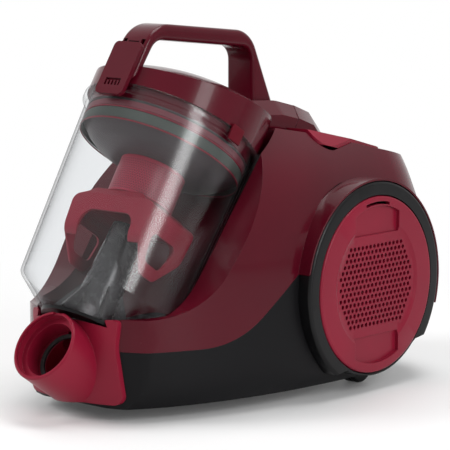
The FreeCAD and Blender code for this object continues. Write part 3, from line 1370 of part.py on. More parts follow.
board = box("board_plate", (24, 128, 160), (60, 166, 161.6))
board_parts = [box("board_block_1", (28, 152, 161), (38, 164, 168)),
               box("board_block_2", (50, 154, 161), (58, 162, 166)),
               cylinder("board_can", 4, 161, 167, Placement(Vector(32, 140, 0), Rotation()))]
keep(join("circuit_board", [board] + board_parts), "circuit_board")
keep(box("power_switch", (41, 142, 161.6), (50, 152, 169)), "power_switch")


def make_screws():
    """Four housing screws sunk into the underside."""
    screws = []
    for x, y in SCREWS:
        head = Part.makeCylinder(float(S.screw_head), 2.2, Vector(x, y, float(S.underside_z) + 0.2))
        shank = Part.makeCylinder(float(S.screw_shank), 9, Vector(x, y, float(S.underside_z) + 1))
        cross = Part.makeBox(4, 0.9, 1.2, Vector(x - 2, y - 0.45, float(S.underside_z)))
        screws.append(head.fuse(shank).cut(cross))
    return screws[0].fuse(screws[1:])


keep(shaped("housing_screws", make_screws()), "housing_screws")


def finish():
    """Checks every object and writes each sub-part to its own file."""
    document.recompute()
    for item in document.Objects:
        if "Invalid" in item.State or "Error" in item.State:
            raise RuntimeError(f"{item.Label} did not compute: {item.State}")
    for item in NODES:
        if item.Shape.isNull() or not item.Shape.isValid():
            raise RuntimeError(f"{item.Label} has no valid shape")
    os.makedirs("parts", exist_ok=True)
    for item in NODES:
        item.Shape.exportStep(f"parts/{item.Label}.step")


finish()
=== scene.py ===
# %% [markdown]
# # A bagless canister vacuum cleaner
# This notebook dresses a jointed CAD model of a canister vacuum cleaner. The model gives every
# solid its exact place. The cells below add finishes and the parts whose charm is in a smooth
# surface: the clear bin with its coloured bands, the pleated filters, the treads and the like.
# Everything is in metres, +Z is up and the hose inlet looks along -Y.

# %% The frame
import json
import math

import bmesh
import bpy
import numpy as np
from mathutils import Matrix, Vector


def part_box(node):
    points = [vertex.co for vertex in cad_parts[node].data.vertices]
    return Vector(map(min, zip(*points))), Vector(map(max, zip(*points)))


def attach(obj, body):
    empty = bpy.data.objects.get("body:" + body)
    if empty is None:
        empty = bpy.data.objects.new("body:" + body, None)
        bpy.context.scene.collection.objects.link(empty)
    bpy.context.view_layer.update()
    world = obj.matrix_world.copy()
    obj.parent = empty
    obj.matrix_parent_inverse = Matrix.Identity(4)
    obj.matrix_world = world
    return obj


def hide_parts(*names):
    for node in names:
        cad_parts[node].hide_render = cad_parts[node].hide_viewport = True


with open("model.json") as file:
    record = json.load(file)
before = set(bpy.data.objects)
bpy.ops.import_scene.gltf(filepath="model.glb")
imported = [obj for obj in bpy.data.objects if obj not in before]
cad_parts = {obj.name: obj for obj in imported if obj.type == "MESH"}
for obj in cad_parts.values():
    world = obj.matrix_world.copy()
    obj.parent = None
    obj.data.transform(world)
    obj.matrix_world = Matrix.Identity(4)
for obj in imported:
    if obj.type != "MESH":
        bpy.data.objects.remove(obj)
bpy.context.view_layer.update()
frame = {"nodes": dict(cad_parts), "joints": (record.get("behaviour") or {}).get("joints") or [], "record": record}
nodes = frame["nodes"]

# %% [markdown]
# ## Camera
# The machine is seen from its front right corner, a little above the horizon, with a long lens so
# that the bin hardly tapers. The camera's place is given and it looks at one point inside the body.

# %% Camera
EYE = Vector((1.277287, -1.408740, 0.406510))
AIM = Vector((0.0, 0.0295, 0.130))
LENS_MM = 189.47
SENSOR_MM = 36.0


def add_camera(eye, aim, lens):
    """A camera at eye: its -Z axis runs along aim - eye, and its Y axis leans towards +Z."""
    data = bpy.data.cameras.new("studio_camera")
    data.lens = lens
    data.sensor_width = SENSOR_MM
    data.clip_end = 20.0
    camera = bpy.data.objects.new("studio_camera", data)
    camera.location = eye
    camera.rotation_euler = (aim - eye).to_track_quat("-Z", "Y").to_euler()
    bpy.context.scene.collection.objects.link(camera)
    bpy.context.scene.camera = camera
    return camera


camera = add_camera(EYE, AIM, LENS_MM)
print("camera distance:", round((AIM - EYE).length, 3))

# %% [markdown]
# ## Shader sums in plain Python
# A material is a small sum over noise, waves and masks. The class below wraps a socket, so that
# `1 - mask * 0.2` adds the Math nodes by itself. Anything that is not a Math node comes from
# `Finish.node`, which takes the node's type, its settings and its socket values.

# %% Tones


class Tone:
    """A number that varies over a surface; Python operators on it add Math nodes."""

    def __init__(self, finish, socket):
        self.finish = finish
        self.socket = socket

    def math(self, operation, *values):
        return self.finish.node("ShaderNodeMath", {"operation": operation}, *values)[0]

    def __add__(self, other):
        return self.math("ADD", self, other)

    def __radd__(self, other):
        return self.math("ADD", other, self)

    def __sub__(self, other):
        return self.math("SUBTRACT", self, other)

    def __rsub__(self, other):
        return self.math("SUBTRACT", other, self)

    def __mul__(self, other):
        return self.math("MULTIPLY", self, other)

    def __rmul__(self, other):
        return self.math("MULTIPLY", other, self)

    def __pow__(self, other):
        return self.math("POWER", self, other)

    def sine(self):
        return self.math("SINE", self)

    def floor(self):
        return self.math("FLOOR", self)

    def fraction(self):
        return self.math("FRACT", self)

    def angle_over(self, other):
        """The angle of the point (other, self) in radians."""
        return self.math("ARCTAN2", self, other)

    def step(self, low, high):
        """0 below low, 1 above high, and a smooth S between them."""
        return self.finish.node(
            "ShaderNodeMapRange", {"interpolation_type": "SMOOTHSTEP"},
            self, low, high, 0.0, 1.0)[0]


print("a Tone knows:", [name for name in vars(Tone) if not name.startswith("__")])

# %% [markdown]
# ## A finish and its nodes
# A `Finish` is one named material with its Principled shader. Its `node` method adds any other
# node, and `noise`, `cells`, `axes`, `colour` and `bump` are the few that come back again and again.

# %% Finishes as objects


class Finish:
    """A named material with its Principled shader and short ways to add nodes."""

    def __init__(self, name, **constants):
        self.material = bpy.data.materials.new(name)
        self.material.use_nodes = True
        self.tree = self.material.node_tree
        self.tree.nodes.clear()
        self.output = self.tree.nodes.new("ShaderNodeOutputMaterial")
        self.shader = self.tree.nodes.new("ShaderNodeBsdfPrincipled")
        self.link(self.shader.outputs[0], self.output.inputs["Surface"])
        self.place = self.node("ShaderNodeTexCoord")["Object"]
        self.set(**constants)

    def link(self, start, end):
        self.tree.links.new(start, end)

    def node(self, kind, settings=None, *values, **named):
        """Adds a node: settings first, then its sockets by order or by name."""
        node = self.tree.nodes.new(kind)
        for key, value in (settings or {}).items():
            setattr(node, key, value)
        for key, value in enumerate(values):
            self.feed(node.inputs[key], value)
        for key, value in named.items():
            self.feed(node.inputs[key.replace("_", " ")], value)
        return Sockets(self, node)

    def feed(self, socket, value):
        """Links a Tone to a socket, or writes a plain value on it."""
        if isinstance(value, Tone):
            self.link(value.socket, socket)
        elif value is not None:
            socket.default_value = value

    def set(self, **values):
        """Sets or links the Principled shader's sockets, written with underscores."""
        for key, value in values.items():
            self.feed(self.shader.inputs[key.replace("_", " ")], value)
        return self

    def noise(self, scale, detail=3.0, roughness=0.5, vector=None):
        """Soft random values round 0.5, scale per metre."""
        settings = {"noise_dimensions": "3D"}
        return self.node("ShaderNodeTexNoise", settings, Vector=vector or self.place, Scale=scale,
                         Detail=detail, Roughness=roughness)[0]

    def cells(self, scale, vector=None):
        """Distance to the nearest of many random points, scale per metre."""
        return self.node("ShaderNodeTexVoronoi", {"feature": "F1"}, Vector=vector or self.place,
                         Scale=scale)[0]

    def axes(self):
        """The X, Y and Z of a point in metres."""
        parts = self.node("ShaderNodeSeparateXYZ", None, self.place)
        return parts[0], parts[1], parts[2]

    def colour(self, mask, first, second):
        """A colour that goes from first to second with mask."""
        node = self.tree.nodes.new("ShaderNodeMix")
        node.data_type = "RGBA"
        self.feed(node.inputs[0], mask)
        self.feed(node.inputs[6], first if isinstance(first, Tone) else (*first, 1.0))
        self.feed(node.inputs[7], second if isinstance(second, Tone) else (*second, 1.0))
        return Tone(self, node.outputs[2])

    def bump(self, height, distance, edge=0.0006):
        """A normal that follows a height given in units of distance, over softly rounded edges."""
        soft = self.node("ShaderNodeBevel", {"samples": 4}, edge)[0]
        return self.node("ShaderNodeBump", None, Strength=1.0, Distance=distance, Height=height,
                         Normal=soft)[0]


class Sockets:
    """The outputs of a node as Tones, by number or name."""

    def __init__(self, finish, node):
        self.finish = finish
        self.raw = node

    def __getitem__(self, key):
        return Tone(self.finish, self.raw.outputs[key])


print("finish helpers:", [name for name in vars(Finish) if not name.startswith("__")])

# %% [markdown]
# ## Moulded finishes
# Injection-moulded plastic is never one flat colour. Gloss parts show a faint orange peel and
# dust-fine scuffs; satin parts carry a spark-eroded grain a few tenths of a millimetre wide.
# Both finishes are therefore the same recipe with different numbers.

# %% Plastic finishes
DEEP_SHARE = 0.86
SCUFF = 0.06
ROUGH_SWING = 0.3


def moulded(name, colour, rough, grain, depth, coat=0.0, shine=0.12):
    """Plastic: colour varies by cloud noise, roughness by scuffs, and the normal by fine grain.

    grain counts bumps per metre and depth is their height in metres."""
    finish = Finish(name, IOR=1.5, Specular_IOR_Level=shine, Coat_Weight=coat, Coat_IOR=1.18,
                    Coat_Roughness=0.03)
    cloud = finish.noise(14.0, 4.0)
    deep = tuple(part * DEEP_SHARE for part in colour)
    scratches = finish.noise(260.0, 3.0).step(0.5, 0.9)
    finish.set(
        Base_Color=finish.colour(cloud.step(0.3, 0.7), deep, colour),
        Roughness=rough + scratches * SCUFF + (cloud - 0.5) * (ROUGH_SWING * rough),
        Normal=finish.bump(finish.noise(grain, 2.0), depth),
    )
    return finish.material


burgundy = moulded("gloss_burgundy", (0.078, 0.0022, 0.0092), 0.22, 60.0, 0.00002, coat=0.7)
crimson = moulded("satin_crimson", (0.225, 0.0065, 0.0250), 0.34, 1600.0, 0.00001, shine=0.2)
# A darker copy of crimson: painted shade for the lid catches, whose windows lie in shade.
crimson_painted_shade = moulded("crimson_painted_shade", (0.100, 0.0030, 0.0100), 0.30, 1600.0, 0.00001)
skirt_red = moulded("lid_skirt_red", (0.150, 0.0400, 0.0520), 0.40, 1600.0, 0.00001)
black = moulded("satin_black", (0.0050, 0.0048, 0.0056), 0.38, 1400.0, 0.00002)
ring_black = moulded("ring_black", (0.0035, 0.0034, 0.0040), 0.30, 1800.0, 0.00001, shine=0.2)
gasket = moulded("grey_gasket", (0.060, 0.070, 0.063), 0.50, 1200.0, 0.00001)
grey = moulded("column_grey", (0.030, 0.029, 0.031), 0.26, 1200.0, 0.00001, shine=0.4)
mesh_grey = moulded("mesh_grey", (0.062, 0.050, 0.054), 0.38, 1500.0, 0.00001)
nylon = moulded("motor_nylon", (0.03, 0.03, 0.033), 0.5, 2000.0, 0.00008)
white_nylon = moulded("natural_nylon", (0.62, 0.61, 0.57), 0.4, 1500.0, 0.00004)
reel_grey = moulded("reel_grey", (0.11, 0.11, 0.115), 0.45, 1800.0, 0.00006)
print("moulded finishes:", [material.name for material in bpy.data.materials])

# %% [markdown]
# ## Rubber, metal, foam, fleece and clear plastic
# Seals bloom, drawn steel shows lines along its length, foam is all pores and fleece all fibres.
# Each gets the one pattern that a hand lens would show on it. The clear wall is a mix: light goes
# through, the wall gets painted shade where it is seen edge on, and a thin gloss lies over both.

# %% Rubber and steel


def rubber_finish():
    """Soft rubber: nearly black, dull, with a bloom of paler dust in its low spots."""
    finish = Finish("seal_rubber", IOR=1.5)
    bloom = finish.noise(300.0, 5.0)
    finish.set(
        Base_Color=finish.colour(bloom.step(0.5, 0.8), (0.018, 0.018, 0.018), (0.05, 0.05, 0.052)),
        Roughness=0.62 + (bloom - 0.5) * 0.2,
        Normal=finish.bump(bloom, 0.0001),
    )
    return finish.material


def steel_finish(name, colour, rough, scale):
    """Drawn steel: fine lines by noise stretched along one axis."""
    finish = Finish(name, Metallic=1.0)
    x, y, z = finish.axes()
    stretched = finish.node("ShaderNodeCombineXYZ", None, x * 0.05, y, z)[0]
    lines = finish.noise(scale, 3.0, vector=stretched)
    finish.set(
        Base_Color=finish.colour(lines, tuple(part * 0.8 for part in colour), colour),
        Roughness=rough + (lines - 0.5) * 0.2,
        Normal=finish.bump(lines, 0.00002),
    )
    return finish.material


rubber = rubber_finish()
steel = steel_finish("bright_steel", (0.62, 0.62, 0.63), 0.28, 1500.0)
spring_steel = steel_finish("spring_steel", (0.55, 0.55, 0.57), 0.3, 2500.0)
copper = steel_finish("enamelled_copper", (0.60, 0.26, 0.12), 0.35, 3000.0)
iron = steel_finish("laminated_iron", (0.22, 0.22, 0.23), 0.45, 2500.0)
print("drawn metals:", steel.name, spring_steel.name, copper.name, iron.name)

# %% Foam, fleece and circuit board


def foam_finish():
    """Open-cell foam: pores painted dark as painted shade, by a cell pattern about one millimetre wide."""
    finish = Finish("open_foam", Roughness=0.95)
    pores = finish.cells(900.0)
    finish.set(
        # Painted shade: the pores are darker than the cell walls.
        Base_Color=finish.colour(pores.step(0.1, 0.6), (0.004, 0.004, 0.005), (0.035, 0.035, 0.038)),
        Normal=finish.bump(pores, 0.0006),
    )
    return finish.material


def fleece_finish():
    """Filter fleece: white fleece painted grey as painted shade for where it stands behind a grille, with fine
    fibres.
    """
    finish = Finish("filter_fleece", Roughness=0.9)
    fibres = finish.noise(1600.0, 6.0, 0.7)
    finish.set(
        # Painted shade: grey tones in place of the fleece's white, for the shade behind the grille.
        Base_Color=finish.colour(fibres, (0.13, 0.13, 0.125), (0.24, 0.24, 0.23)),
        Normal=finish.bump(fibres, 0.0002),
    )
    return finish.material


def board_finish():
    """Circuit board: green lacquer over faint copper tracks in a square raster."""
    finish = Finish("circuit_board", Roughness=0.35)
    x, y, _ = finish.axes()
    tracks = ((x * 1900.0).sine() * (y * 1700.0).sine()).step(0.1, 0.3)
    finish.set(Base_Color=finish.colour(tracks, (0.010, 0.075, 0.025), (0.03, 0.16, 0.06)),
               Normal=finish.bump(tracks, 0.00003))
    return finish.material


foam = foam_finish()
fleece = fleece_finish()
board = board_finish()
print("soft and flat finishes:", foam.name, fleece.name, board.name)

# %% Clear plastic


def clear_finish():
    """Clear plastic: light passes through; its edges get a little painted shade where seen edge on, and shine
    more.
    """
    finish = Finish("clear_polycarbonate", IOR=1.5, Specular_IOR_Level=0.1, Roughness=0.3,
                    Base_Color=(0.10, 0.103, 0.106, 1.0))
    facing = finish.node("ShaderNodeLayerWeight", None, 0.5)["Facing"]
    smears = finish.noise(30.0, 4.0).step(0.45, 0.75)
    through = finish.node("ShaderNodeBsdfTransparent", None, (0.96, 0.965, 0.97, 1.0))[0]
    shine = finish.node("ShaderNodeBsdfAnisotropic", None, (1.0, 1.0, 1.0, 1.0), 0.16)[0]
    # Painted shade: where the wall is seen edge on, it mixes towards the dark grey base colour.
    edge_shade_mix = finish.tree.nodes.new("ShaderNodeMixShader")
    finish.feed(edge_shade_mix.inputs[0], facing ** 6.0 * 0.85)
    finish.link(through.socket, edge_shade_mix.inputs[1])
    finish.link(finish.shader.outputs[0], edge_shade_mix.inputs[2])
    glazed = finish.tree.nodes.new("ShaderNodeMixShader")
    finish.feed(glazed.inputs[0], 0.020 + facing ** 6.0 * 0.05 + smears * 0.006)
    finish.link(edge_shade_mix.outputs[0], glazed.inputs[1])
    finish.link(shine.socket, glazed.inputs[2])
    finish.link(glazed.outputs[0], finish.output.inputs["Surface"])
    return finish.material


clear = clear_finish()
print("clear wall:", len(clear.node_tree.nodes), "nodes")

# %% [markdown]
# ## Each CAD node gets its finish
# The record names a material slot for every node, so one table turns slots into finishes.
# A small node group welds the loose triangles of a CAD mesh and smooths it up to a chosen crease
# angle; it works as a modifier, so the mesh itself stays as it is.

# %% Finishes on the CAD nodes
BY_SLOT = {
    "base_black": black, "shell_burgundy": burgundy, "crimson": crimson, "clear_bin": clear,
    "ring_black": ring_black, "column_grey": grey, "mesh_grey": mesh_grey, "seal_rubber": rubber,
    "foam": foam, "filter_pleats": fleece, "steel": steel, "spring_steel": spring_steel,
    "motor_plastic": nylon, "fan_white": white_nylon, "copper": copper, "iron": iron,
    "reel_grey": reel_grey, "wheel_tread": ring_black, "board_green": board,
}


WELD = 0.000005


def crease_group(angle):
    """A node group: weld points closer than WELD, split edges sharper than angle, smooth."""
    group = bpy.data.node_groups.new("smooth_by_angle", "GeometryNodeTree")
    group.interface.new_socket("Geometry", in_out="INPUT", socket_type="NodeSocketGeometry")
    group.interface.new_socket("Geometry", in_out="OUTPUT", socket_type="NodeSocketGeometry")
    start = group.nodes.new("NodeGroupInput")
    end = group.nodes.new("NodeGroupOutput")
    weld = group.nodes.new("GeometryNodeMergeByDistance")
    weld.inputs["Distance"].default_value = WELD
    bend = group.nodes.new("GeometryNodeInputMeshEdgeAngle")
    sharp = group.nodes.new("FunctionNodeCompare")
    sharp.data_type = "FLOAT"
    sharp.operation = "GREATER_THAN"
    sharp.inputs[1].default_value = angle
    split = group.nodes.new("GeometryNodeSplitEdges")
    smooth = group.nodes.new("GeometryNodeSetShadeSmooth")
    group.links.new(start.outputs[0], weld.inputs["Geometry"])
    group.links.new(weld.outputs["Geometry"], split.inputs["Mesh"])
    group.links.new(bend.outputs["Unsigned Angle"], sharp.inputs[0])
    group.links.new(sharp.outputs[0], split.inputs["Selection"])
    group.links.new(split.outputs["Mesh"], smooth.inputs["Geometry"])
    group.links.new(smooth.outputs["Geometry"], end.inputs[0])
    return group


CREASE_DEGREES = 28
creases = crease_group(math.radians(CREASE_DEGREES))
slot_of = {part["node"]: part["material_slot"] for part in frame["record"]["subparts"]}
for name, node in nodes.items():
    node.data.materials.clear()
    node.data.materials.append(BY_SLOT[slot_of[name]])
    node.modifiers.new("smooth", "NODES").node_group = creases
# The lid catches get the darker crimson copy as painted shade of their windows.
nodes["lid_catches"].data.materials[0] = crimson_painted_shade
print("finished nodes:", len(slot_of))

# %% [markdown]
# ## Surfaces from formulas
# The new pieces below are skins over a grid. A function of two numbers, one along a profile and
# one round an axis, gives each point, and the grid's neighbours make the faces. Poles and seams
# are welded afterwards, and the faces are turned outward.

# %% Skin helpers
BIN_AXIS = Vector(next(joint["axis"] for joint in frame["joints"] if joint["name"] == "lid_pull"))
LATCH_PIN = Vector(next(joint["pos_m"] for joint in frame["joints"] if joint["name"] == "latch_tilt"))
FORWARD = Vector((0.0, -BIN_AXIS.z, BIN_AXIS.y))
PIN_ABOVE_LIP = 0.0325
PIN_AHEAD = 0.072
LIP = LATCH_PIN - BIN_AXIS * PIN_ABOVE_LIP - FORWARD * PIN_AHEAD
BIN_TURN = Matrix((Vector((1, 0, 0)), -FORWARD, BIN_AXIS)).transposed()


print("bin lip at", [round(part, 4) for part in LIP], "axis", [round(part, 4) for part in BIN_AXIS])


def skin(name, points, wrap_rows, wrap_columns, body, finish):
    """A mesh object from an array of points: rows x columns x 3, wrapped round where told."""
    rows, columns = points.shape[:2]
    row = np.arange(rows if wrap_rows else rows - 1)
    column = np.arange(columns if wrap_columns else columns - 1)
    row, column = np.meshgrid(row, column, indexing="ij")
    next_row = (row + 1) % rows
    next_column = (column + 1) % columns
    quads = np.stack([row * columns + column, next_row * columns + column,
                      next_row * columns + next_column, row * columns + next_column], axis=-1)
    mesh = bpy.data.meshes.new(name)
    mesh.from_pydata(points.reshape(-1, 3).tolist(), [], quads.reshape(-1, 4).tolist())
    close_seams(mesh)
    mesh.materials.append(finish)
    piece = bpy.data.objects.new(name, mesh)
    bpy.context.scene.collection.objects.link(piece)
    piece.modifiers.new("smooth", "NODES").node_group = creases
    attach(piece, body)
    print(name, len(mesh.vertices), "points")
    return piece


def close_seams(mesh):
    """Welds points that lie together at poles and seams, and turns every face outward."""
    work = bmesh.new()
    work.from_mesh(mesh)
    bmesh.ops.remove_doubles(work, verts=work.verts, dist=1e-7)
    bmesh.ops.recalc_face_normals(work, faces=work.faces)
    work.to_mesh(mesh)
    work.free()


def placed(points, turn, origin):
    """Points given in a frame of their own, moved to the machine's frame."""
    return points @ np.array(turn).T + np.array(origin)


def rounded(corners, steps=6):
    """A closed outline of (r, s, radius) corners with a tangent arc in place of each corner."""
    path = []
    spots = [np.array(corner[:2], float) for corner in corners]
    for index, (here, corner) in enumerate(zip(spots, corners)):
        before = spots[index - 1] - here
        after = spots[(index + 1) % len(spots)] - here
        before, before_run = before / np.linalg.norm(before), np.linalg.norm(before)
        after, after_run = after / np.linalg.norm(after), np.linalg.norm(after)
        half = math.acos(np.clip(before @ after, -1, 1)) / 2
        reach = min(corner[2] / max(math.tan(half), 1e-6), before_run * 0.49, after_run * 0.49)
        if reach < 1e-6:
            path.append(here)
            continue
        start, end = here + before * reach, here + after * reach
        for share in np.linspace(0, 1, steps):
            path.append((1 - share) ** 2 * start + 2 * share * (1 - share) * here + share ** 2 * end)
    return np.array(path)


def lathe(profile, sectors, turn, origin):
    """The profile's (r, s) points turned round the s axis: (r cos a, r sin a, s)."""
    angle = np.linspace(0, 2 * math.pi, sectors, endpoint=False)
    radius, height = profile[:, 0][:, None], profile[:, 1][:, None]
    points = np.stack([radius * np.cos(angle), radius * np.sin(angle), height + 0 * angle], axis=-1)
    return placed(points, turn, origin)


# %% [markdown]
# ## The clear bin
# The bin is one turned skin with a real wall: a rolled lip on top, a slightly tapered wall, a
# generous radius at its foot and an open neck in the middle of its floor. Its rounded edges catch
# the light, which makes a clear wall readable.

# %% Clear bin
BIN_OUTLINE = [
    (0.0740, 0.0030, 0.0012), (0.0740, -0.0030, 0.0014), (0.0704, -0.0046, 0.003),
    (0.0650, -0.1520, 0.003), (0.0385, -0.1734, 0.003), (0.0125, -0.1734, 0.0004),
    (0.0125, -0.1710, 0.0006), (0.0370, -0.1710, 0.002), (0.0630, -0.1508, 0.002),
    (0.0682, -0.0040, 0.002), (0.0682, 0.0030, 0.0008),
]

bin_wall = skin("clear_bin_wall", lathe(rounded(BIN_OUTLINE), 160, BIN_TURN, LIP), True, True,
                "bin", clear)
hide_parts("dust_bin")

# %% [markdown]
# ## Bands inside the bin's top
# Through the clear wall one sees the skirt of the lid and the gasket of the filter tray. They are
# four thin turned rings that stand just inside the wall: a crimson skirt, a fine crimson line, a
# grey gasket and a second fine line.

# %% Bands
BAND_RADIUS = 0.0673
BAND_WALL = 0.0009
BAND_TAPER = 0.012
BANDS = [
    ("lid_skirt_band", -0.0042, -0.0136, 0.0, skirt_red, "crimson"),
    ("upper_trim_line", -0.0140, -0.0150, 0.0004, crimson, "crimson"),
    ("gasket_band", -0.0153, -0.0238, 0.0, gasket, "seal_rubber"),
    ("lower_trim_line", -0.0241, -0.0251, 0.0004, crimson, "crimson"),
]


def band_outline(top, foot, proud):
    """A thin rectangle with soft corners: from top to foot, proud of the common radius."""
    outer = BAND_RADIUS + proud + BAND_TAPER * foot
    inner = outer - BAND_WALL
    return [(outer, top, 0.0003), (outer, foot, 0.0003), (inner, foot, 0.0002), (inner, top, 0.0002)]


for name, top, foot, proud, finish, slot_name in BANDS:
    skin(name, lathe(rounded(band_outline(top, foot, proud)), 128, BIN_TURN, LIP), True, True,
         "bin", finish)

# %% [markdown]
# ## Perforated outlet tube
# The tube under the separator plate is a fine sieve. Its holes stand in staggered rows, far too
# small to be cut one by one, so the finish dents them and paints them near black as painted shade, with a plain
# band at each end.

# %% Outlet tube
ROWS_PER_METRE = 520.0
HOLES_ROUND = 80.0
POSITIVE = 100.0  # a whole number that keeps the counts above zero
SLEEVE = [
    (0.0270, -0.0357, 0.0004), (0.0270, -0.0668, 0.0012), (0.0232, -0.0668, 0.0003),
    (0.0232, -0.0652, 0.0003), (0.0252, -0.0652, 0.0003), (0.0252, -0.0357, 0.0003),
]


def sieve_finish():
    """Crimson plastic with round holes: rows along the tube, every other row shifted by half; the holes are
    painted near black as painted shade.
    """
    finish = Finish("crimson_sieve", IOR=1.45, Roughness=0.4)
    turned = finish.node("ShaderNodeMapping", {"vector_type": "TEXTURE"}, finish.place, tuple(LIP),
                         tuple(BIN_TURN.to_euler()))[0]
    parts = finish.node("ShaderNodeSeparateXYZ", None, turned)
    angle = parts[1].angle_over(parts[0])
    row = parts[2] * ROWS_PER_METRE
    shift = row.floor() * 0.5
    across = (angle * (HOLES_ROUND / (2 * math.pi)) + shift + POSITIVE).fraction() - 0.5
    along = (row + POSITIVE).fraction() - 0.5
    hole = 1.0 - (across * across + along * along).step(0.05, 0.11)
    band = parts[2].step(-0.0655, -0.0650) * (1.0 - parts[2].step(-0.0385, -0.0380))
    hole = hole * band
    finish.set(
        # Painted shade: the holes get a near-black crimson for the dark seen through them.
        Base_Color=finish.colour(hole, (0.30, 0.014, 0.042), (0.035, 0.003, 0.008)),
        Normal=finish.bump(1.0 - hole, 0.0004),
    )
    return finish.material


sleeve = skin("outlet_sieve", lathe(rounded(SLEEVE), 96, BIN_TURN, LIP), True, True,
              "bin", sieve_finish())
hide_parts("mesh_tube")

# %% [markdown]
# ## Pleated exhaust filters
# Behind each round cover sits a pleated fleece. Its face is a zigzag of soft ridges that run up
# and down, flattened towards the rim, where the fleece is glued into its frame.

# %% Exhaust filters
PLEAT_PITCH = 0.0058
RIM_CLEARANCE = 0.0002
FACE_RINGS = 60
BACK_RINGS = 8
DISC_SECTORS = 260


def pleated_disc(side):
    """A disc whose outer face waves with the distance along Y: depth = height * |sin|, 0 at the rim."""
    word = "right" if side > 0 else "left"
    low, high = [Vector(corner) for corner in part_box(f"exhaust_filter_{word}")]
    middle = (low + high) / 2
    radius = (high.y - low.y) / 2 - RIM_CLEARANCE
    thick = high.x - low.x
    share = np.concatenate([np.linspace(0, 1, FACE_RINGS), np.linspace(1, 0, BACK_RINGS)])
    outer = np.concatenate([np.ones(FACE_RINGS), np.zeros(BACK_RINGS)])
    angle = np.linspace(0, 2 * math.pi, DISC_SECTORS, endpoint=False)
    y = radius * share[:, None] * np.cos(angle)
    z = radius * share[:, None] * np.sin(angle)
    wave = np.abs(np.sin(y * math.pi / PLEAT_PITCH)) ** 0.8
    fade = np.clip((1 - share[:, None]) * 12, 0, 1)
    depth = np.where(outer[:, None] > 0, thick * (0.5 - 0.55 * (1 - wave) * fade), -thick * 0.5)
    return np.stack([side * depth, y, z], axis=-1) + np.array(middle)


for side, word in ((1, "right"), (-1, "left")):
    pleats = skin(f"pleated_filter_{word}", pleated_disc(side), False, True, "chassis", fleece)
    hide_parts(f"exhaust_filter_{word}")

# %% [markdown]
# ## Wheels
# The rear wheels and the caster are turned treads with two shallow grooves, and their shoulders
# are ribbed so that they grip a carpet.

# %% Wheels
SHOULDER = 0.0025
GROOVE_WIDTH = 0.0007
GROOVE_DEPTH = 0.0009
RIBS = 36
RIB_DEPTH = 0.0006
REAR_HUB = 0.00256
CASTER_HUB = 0.00206


def tread(box, hub, grooves):
    """A wheel about X: its radius dips by a little at each groove and between the shoulder ribs."""
    low, high = Vector(box[0]), Vector(box[1])
    middle = (low + high) / 2
    radius = (high.z - low.z) / 2
    half = (high.x - low.x) / 2
    path = rounded([(radius, half, 0.0022), (hub + 0.002, half, 0.0006), (hub, half - 0.0012, 0.0004),
                    (hub, -half + 0.0012, 0.0004), (hub + 0.002, -half, 0.0006),
                    (radius, -half, 0.0022)], 7)
    along = np.linspace(-half + SHOULDER, half - SHOULDER, 41)
    face = np.stack([np.full_like(along, radius), along], axis=-1)
    path = np.concatenate([path, face])
    angle = np.linspace(0, 2 * math.pi, 180, endpoint=False)
    reach, along = path[:, 0][:, None], path[:, 1][:, None]
    dip = sum(np.exp(-((along - groove * half) / GROOVE_WIDTH) ** 2) for groove in grooves)
    ribs = 0.5 + 0.5 * np.sin(angle * RIBS)
    shoulder = np.clip((np.abs(along) / half - 0.62) * 4, 0, 1)
    shoulder = shoulder * np.clip((reach / radius - 0.9) * 12, 0, 1)
    reach = reach - GROOVE_DEPTH * dip * (reach > radius * 0.98) - RIB_DEPTH * shoulder * ribs
    points = np.stack([along + 0 * angle, reach * np.cos(angle), reach * np.sin(angle)], axis=-1)
    return points + np.array(middle)


for word in ("right", "left"):
    wheel = skin(f"rear_tread_{word}", tread(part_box(f"rear_wheel_{word}"), REAR_HUB, (-0.3, 0.3)),
                 True, True, f"wheel_{word}", ring_black)
    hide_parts(f"rear_wheel_{word}")
roller = skin("caster_tread", tread(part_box("caster_wheel"), CASTER_HUB, (0.0,)), True, True,
              "caster_roller", ring_black)
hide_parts("caster_wheel")

# %% [markdown]
# ## Studio
# A pale floor, a white surround and three soft boxes. The surround is white only for camera,
# mirror and see-through rays, so that the lamps set the level on the machine. The floor keeps the
# machine's shadow near it and fades to white further out.

# %% Floor and backdrop
FLOOR_REACH = 6.0
NEAR_GLOW = 0.05


def add_floor():
    """A square plane at z = 0, far larger than the machine."""
    mesh = bpy.data.meshes.new("studio_floor")
    corners = [(x * FLOOR_REACH, y * FLOOR_REACH, 0) for x, y in ((-1, -1), (1, -1), (1, 1), (-1, 1))]
    mesh.from_pydata(corners, [], [(0, 1, 2, 3)])
    floor = bpy.data.objects.new("studio_floor", mesh)
    bpy.context.scene.collection.objects.link(floor)
    finish = Finish("studio_floor", Base_Color=(0.86, 0.86, 0.86, 1.0), Roughness=0.5)
    glow = finish.node("ShaderNodeEmission", None, (1.0, 1.0, 1.0, 1.0), 1.0)[0]
    seen = finish.node("ShaderNodeLightPath")["Is Camera Ray"]
    x, y, _ = finish.axes()
    far = (x * x + y * y).step(0.02, 0.55)
    blend = finish.tree.nodes.new("ShaderNodeMixShader")
    finish.feed(blend.inputs[0], seen * (NEAR_GLOW + far * (1 - NEAR_GLOW)))
    finish.link(finish.shader.outputs[0], blend.inputs[1])
    finish.link(glow.socket, blend.inputs[2])
    finish.link(blend.outputs[0], finish.output.inputs["Surface"])
    mesh.materials.append(finish.material)
    return floor


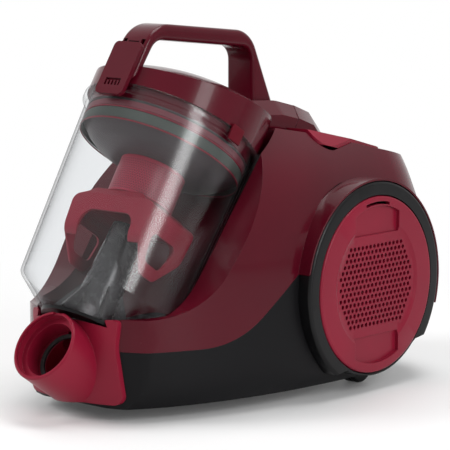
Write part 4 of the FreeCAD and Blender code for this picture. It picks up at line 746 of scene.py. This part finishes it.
def light_world(level, shine):
    """White for rays that show it directly, a set level for reflections, a plain level otherwise."""
    world = bpy.data.worlds.new("studio")
    world.use_nodes = True
    tree = world.node_tree
    tree.nodes.clear()
    path = tree.nodes.new("ShaderNodeLightPath")
    shades = {}
    for name, strength in (("plain", level), ("mirrored", shine), ("white", 1.0)):
        shades[name] = tree.nodes.new("ShaderNodeBackground")
        shades[name].inputs["Color"].default_value = (1.0, 1.0, 1.0, 1.0)
        shades[name].inputs["Strength"].default_value = strength
    seen = tree.nodes.new("ShaderNodeMath")
    seen.operation = "MAXIMUM"
    tree.links.new(path.outputs["Is Camera Ray"], seen.inputs[0])
    tree.links.new(path.outputs["Is Transmission Ray"], seen.inputs[1])
    lit = tree.nodes.new("ShaderNodeMixShader")
    tree.links.new(path.outputs["Is Glossy Ray"], lit.inputs[0])
    tree.links.new(shades["plain"].outputs[0], lit.inputs[1])
    tree.links.new(shades["mirrored"].outputs[0], lit.inputs[2])
    shown = tree.nodes.new("ShaderNodeMixShader")
    tree.links.new(seen.outputs[0], shown.inputs[0])
    tree.links.new(lit.outputs[0], shown.inputs[1])
    tree.links.new(shades["white"].outputs[0], shown.inputs[2])
    output = tree.nodes.new("ShaderNodeOutputWorld")
    tree.links.new(shown.outputs[0], output.inputs[0])
    bpy.context.scene.world = world


add_floor()
light_world(0.30, 0.8)
bpy.context.scene.view_settings.view_transform = "Standard"
print("floor reaches", FLOOR_REACH, "m")

# %% [markdown]
# ## Lamps
# Three large soft boxes stand to the left, to the right and above. The left one is kept out of
# reflections, so that the clear bin shows one tall highlight right of its middle and no second.

# %% Soft boxes


def soft_box(name, place, aim, width, height, watts, mirrored=True):
    """A rectangular lamp at place whose face looks at aim; it may be left out of reflections."""
    data = bpy.data.lights.new(name, "AREA")
    data.shape = "RECTANGLE"
    data.size = width
    data.size_y = height
    data.energy = watts
    lamp = bpy.data.objects.new(name, data)
    lamp.location = place
    lamp.rotation_euler = (Vector(aim) - Vector(place)).to_track_quat("-Z", "Y").to_euler()
    lamp.visible_glossy = mirrored
    bpy.context.scene.collection.objects.link(lamp)
    return lamp


soft_box("key_box", (-1.5, -1.4, 1.5), (0, 0, 0.15), 0.9, 1.4, 34.0, mirrored=False)
soft_box("fill_box", (1.9, -0.3, 1.0), (0, 0, 0.15), 0.5, 1.3, 22.0)
soft_box("top_box", (0.1, 0.3, 2.1), (0, 0, 0.1), 1.4, 1.0, 26.0)
print("lamps:", [lamp.name for lamp in bpy.data.lights])
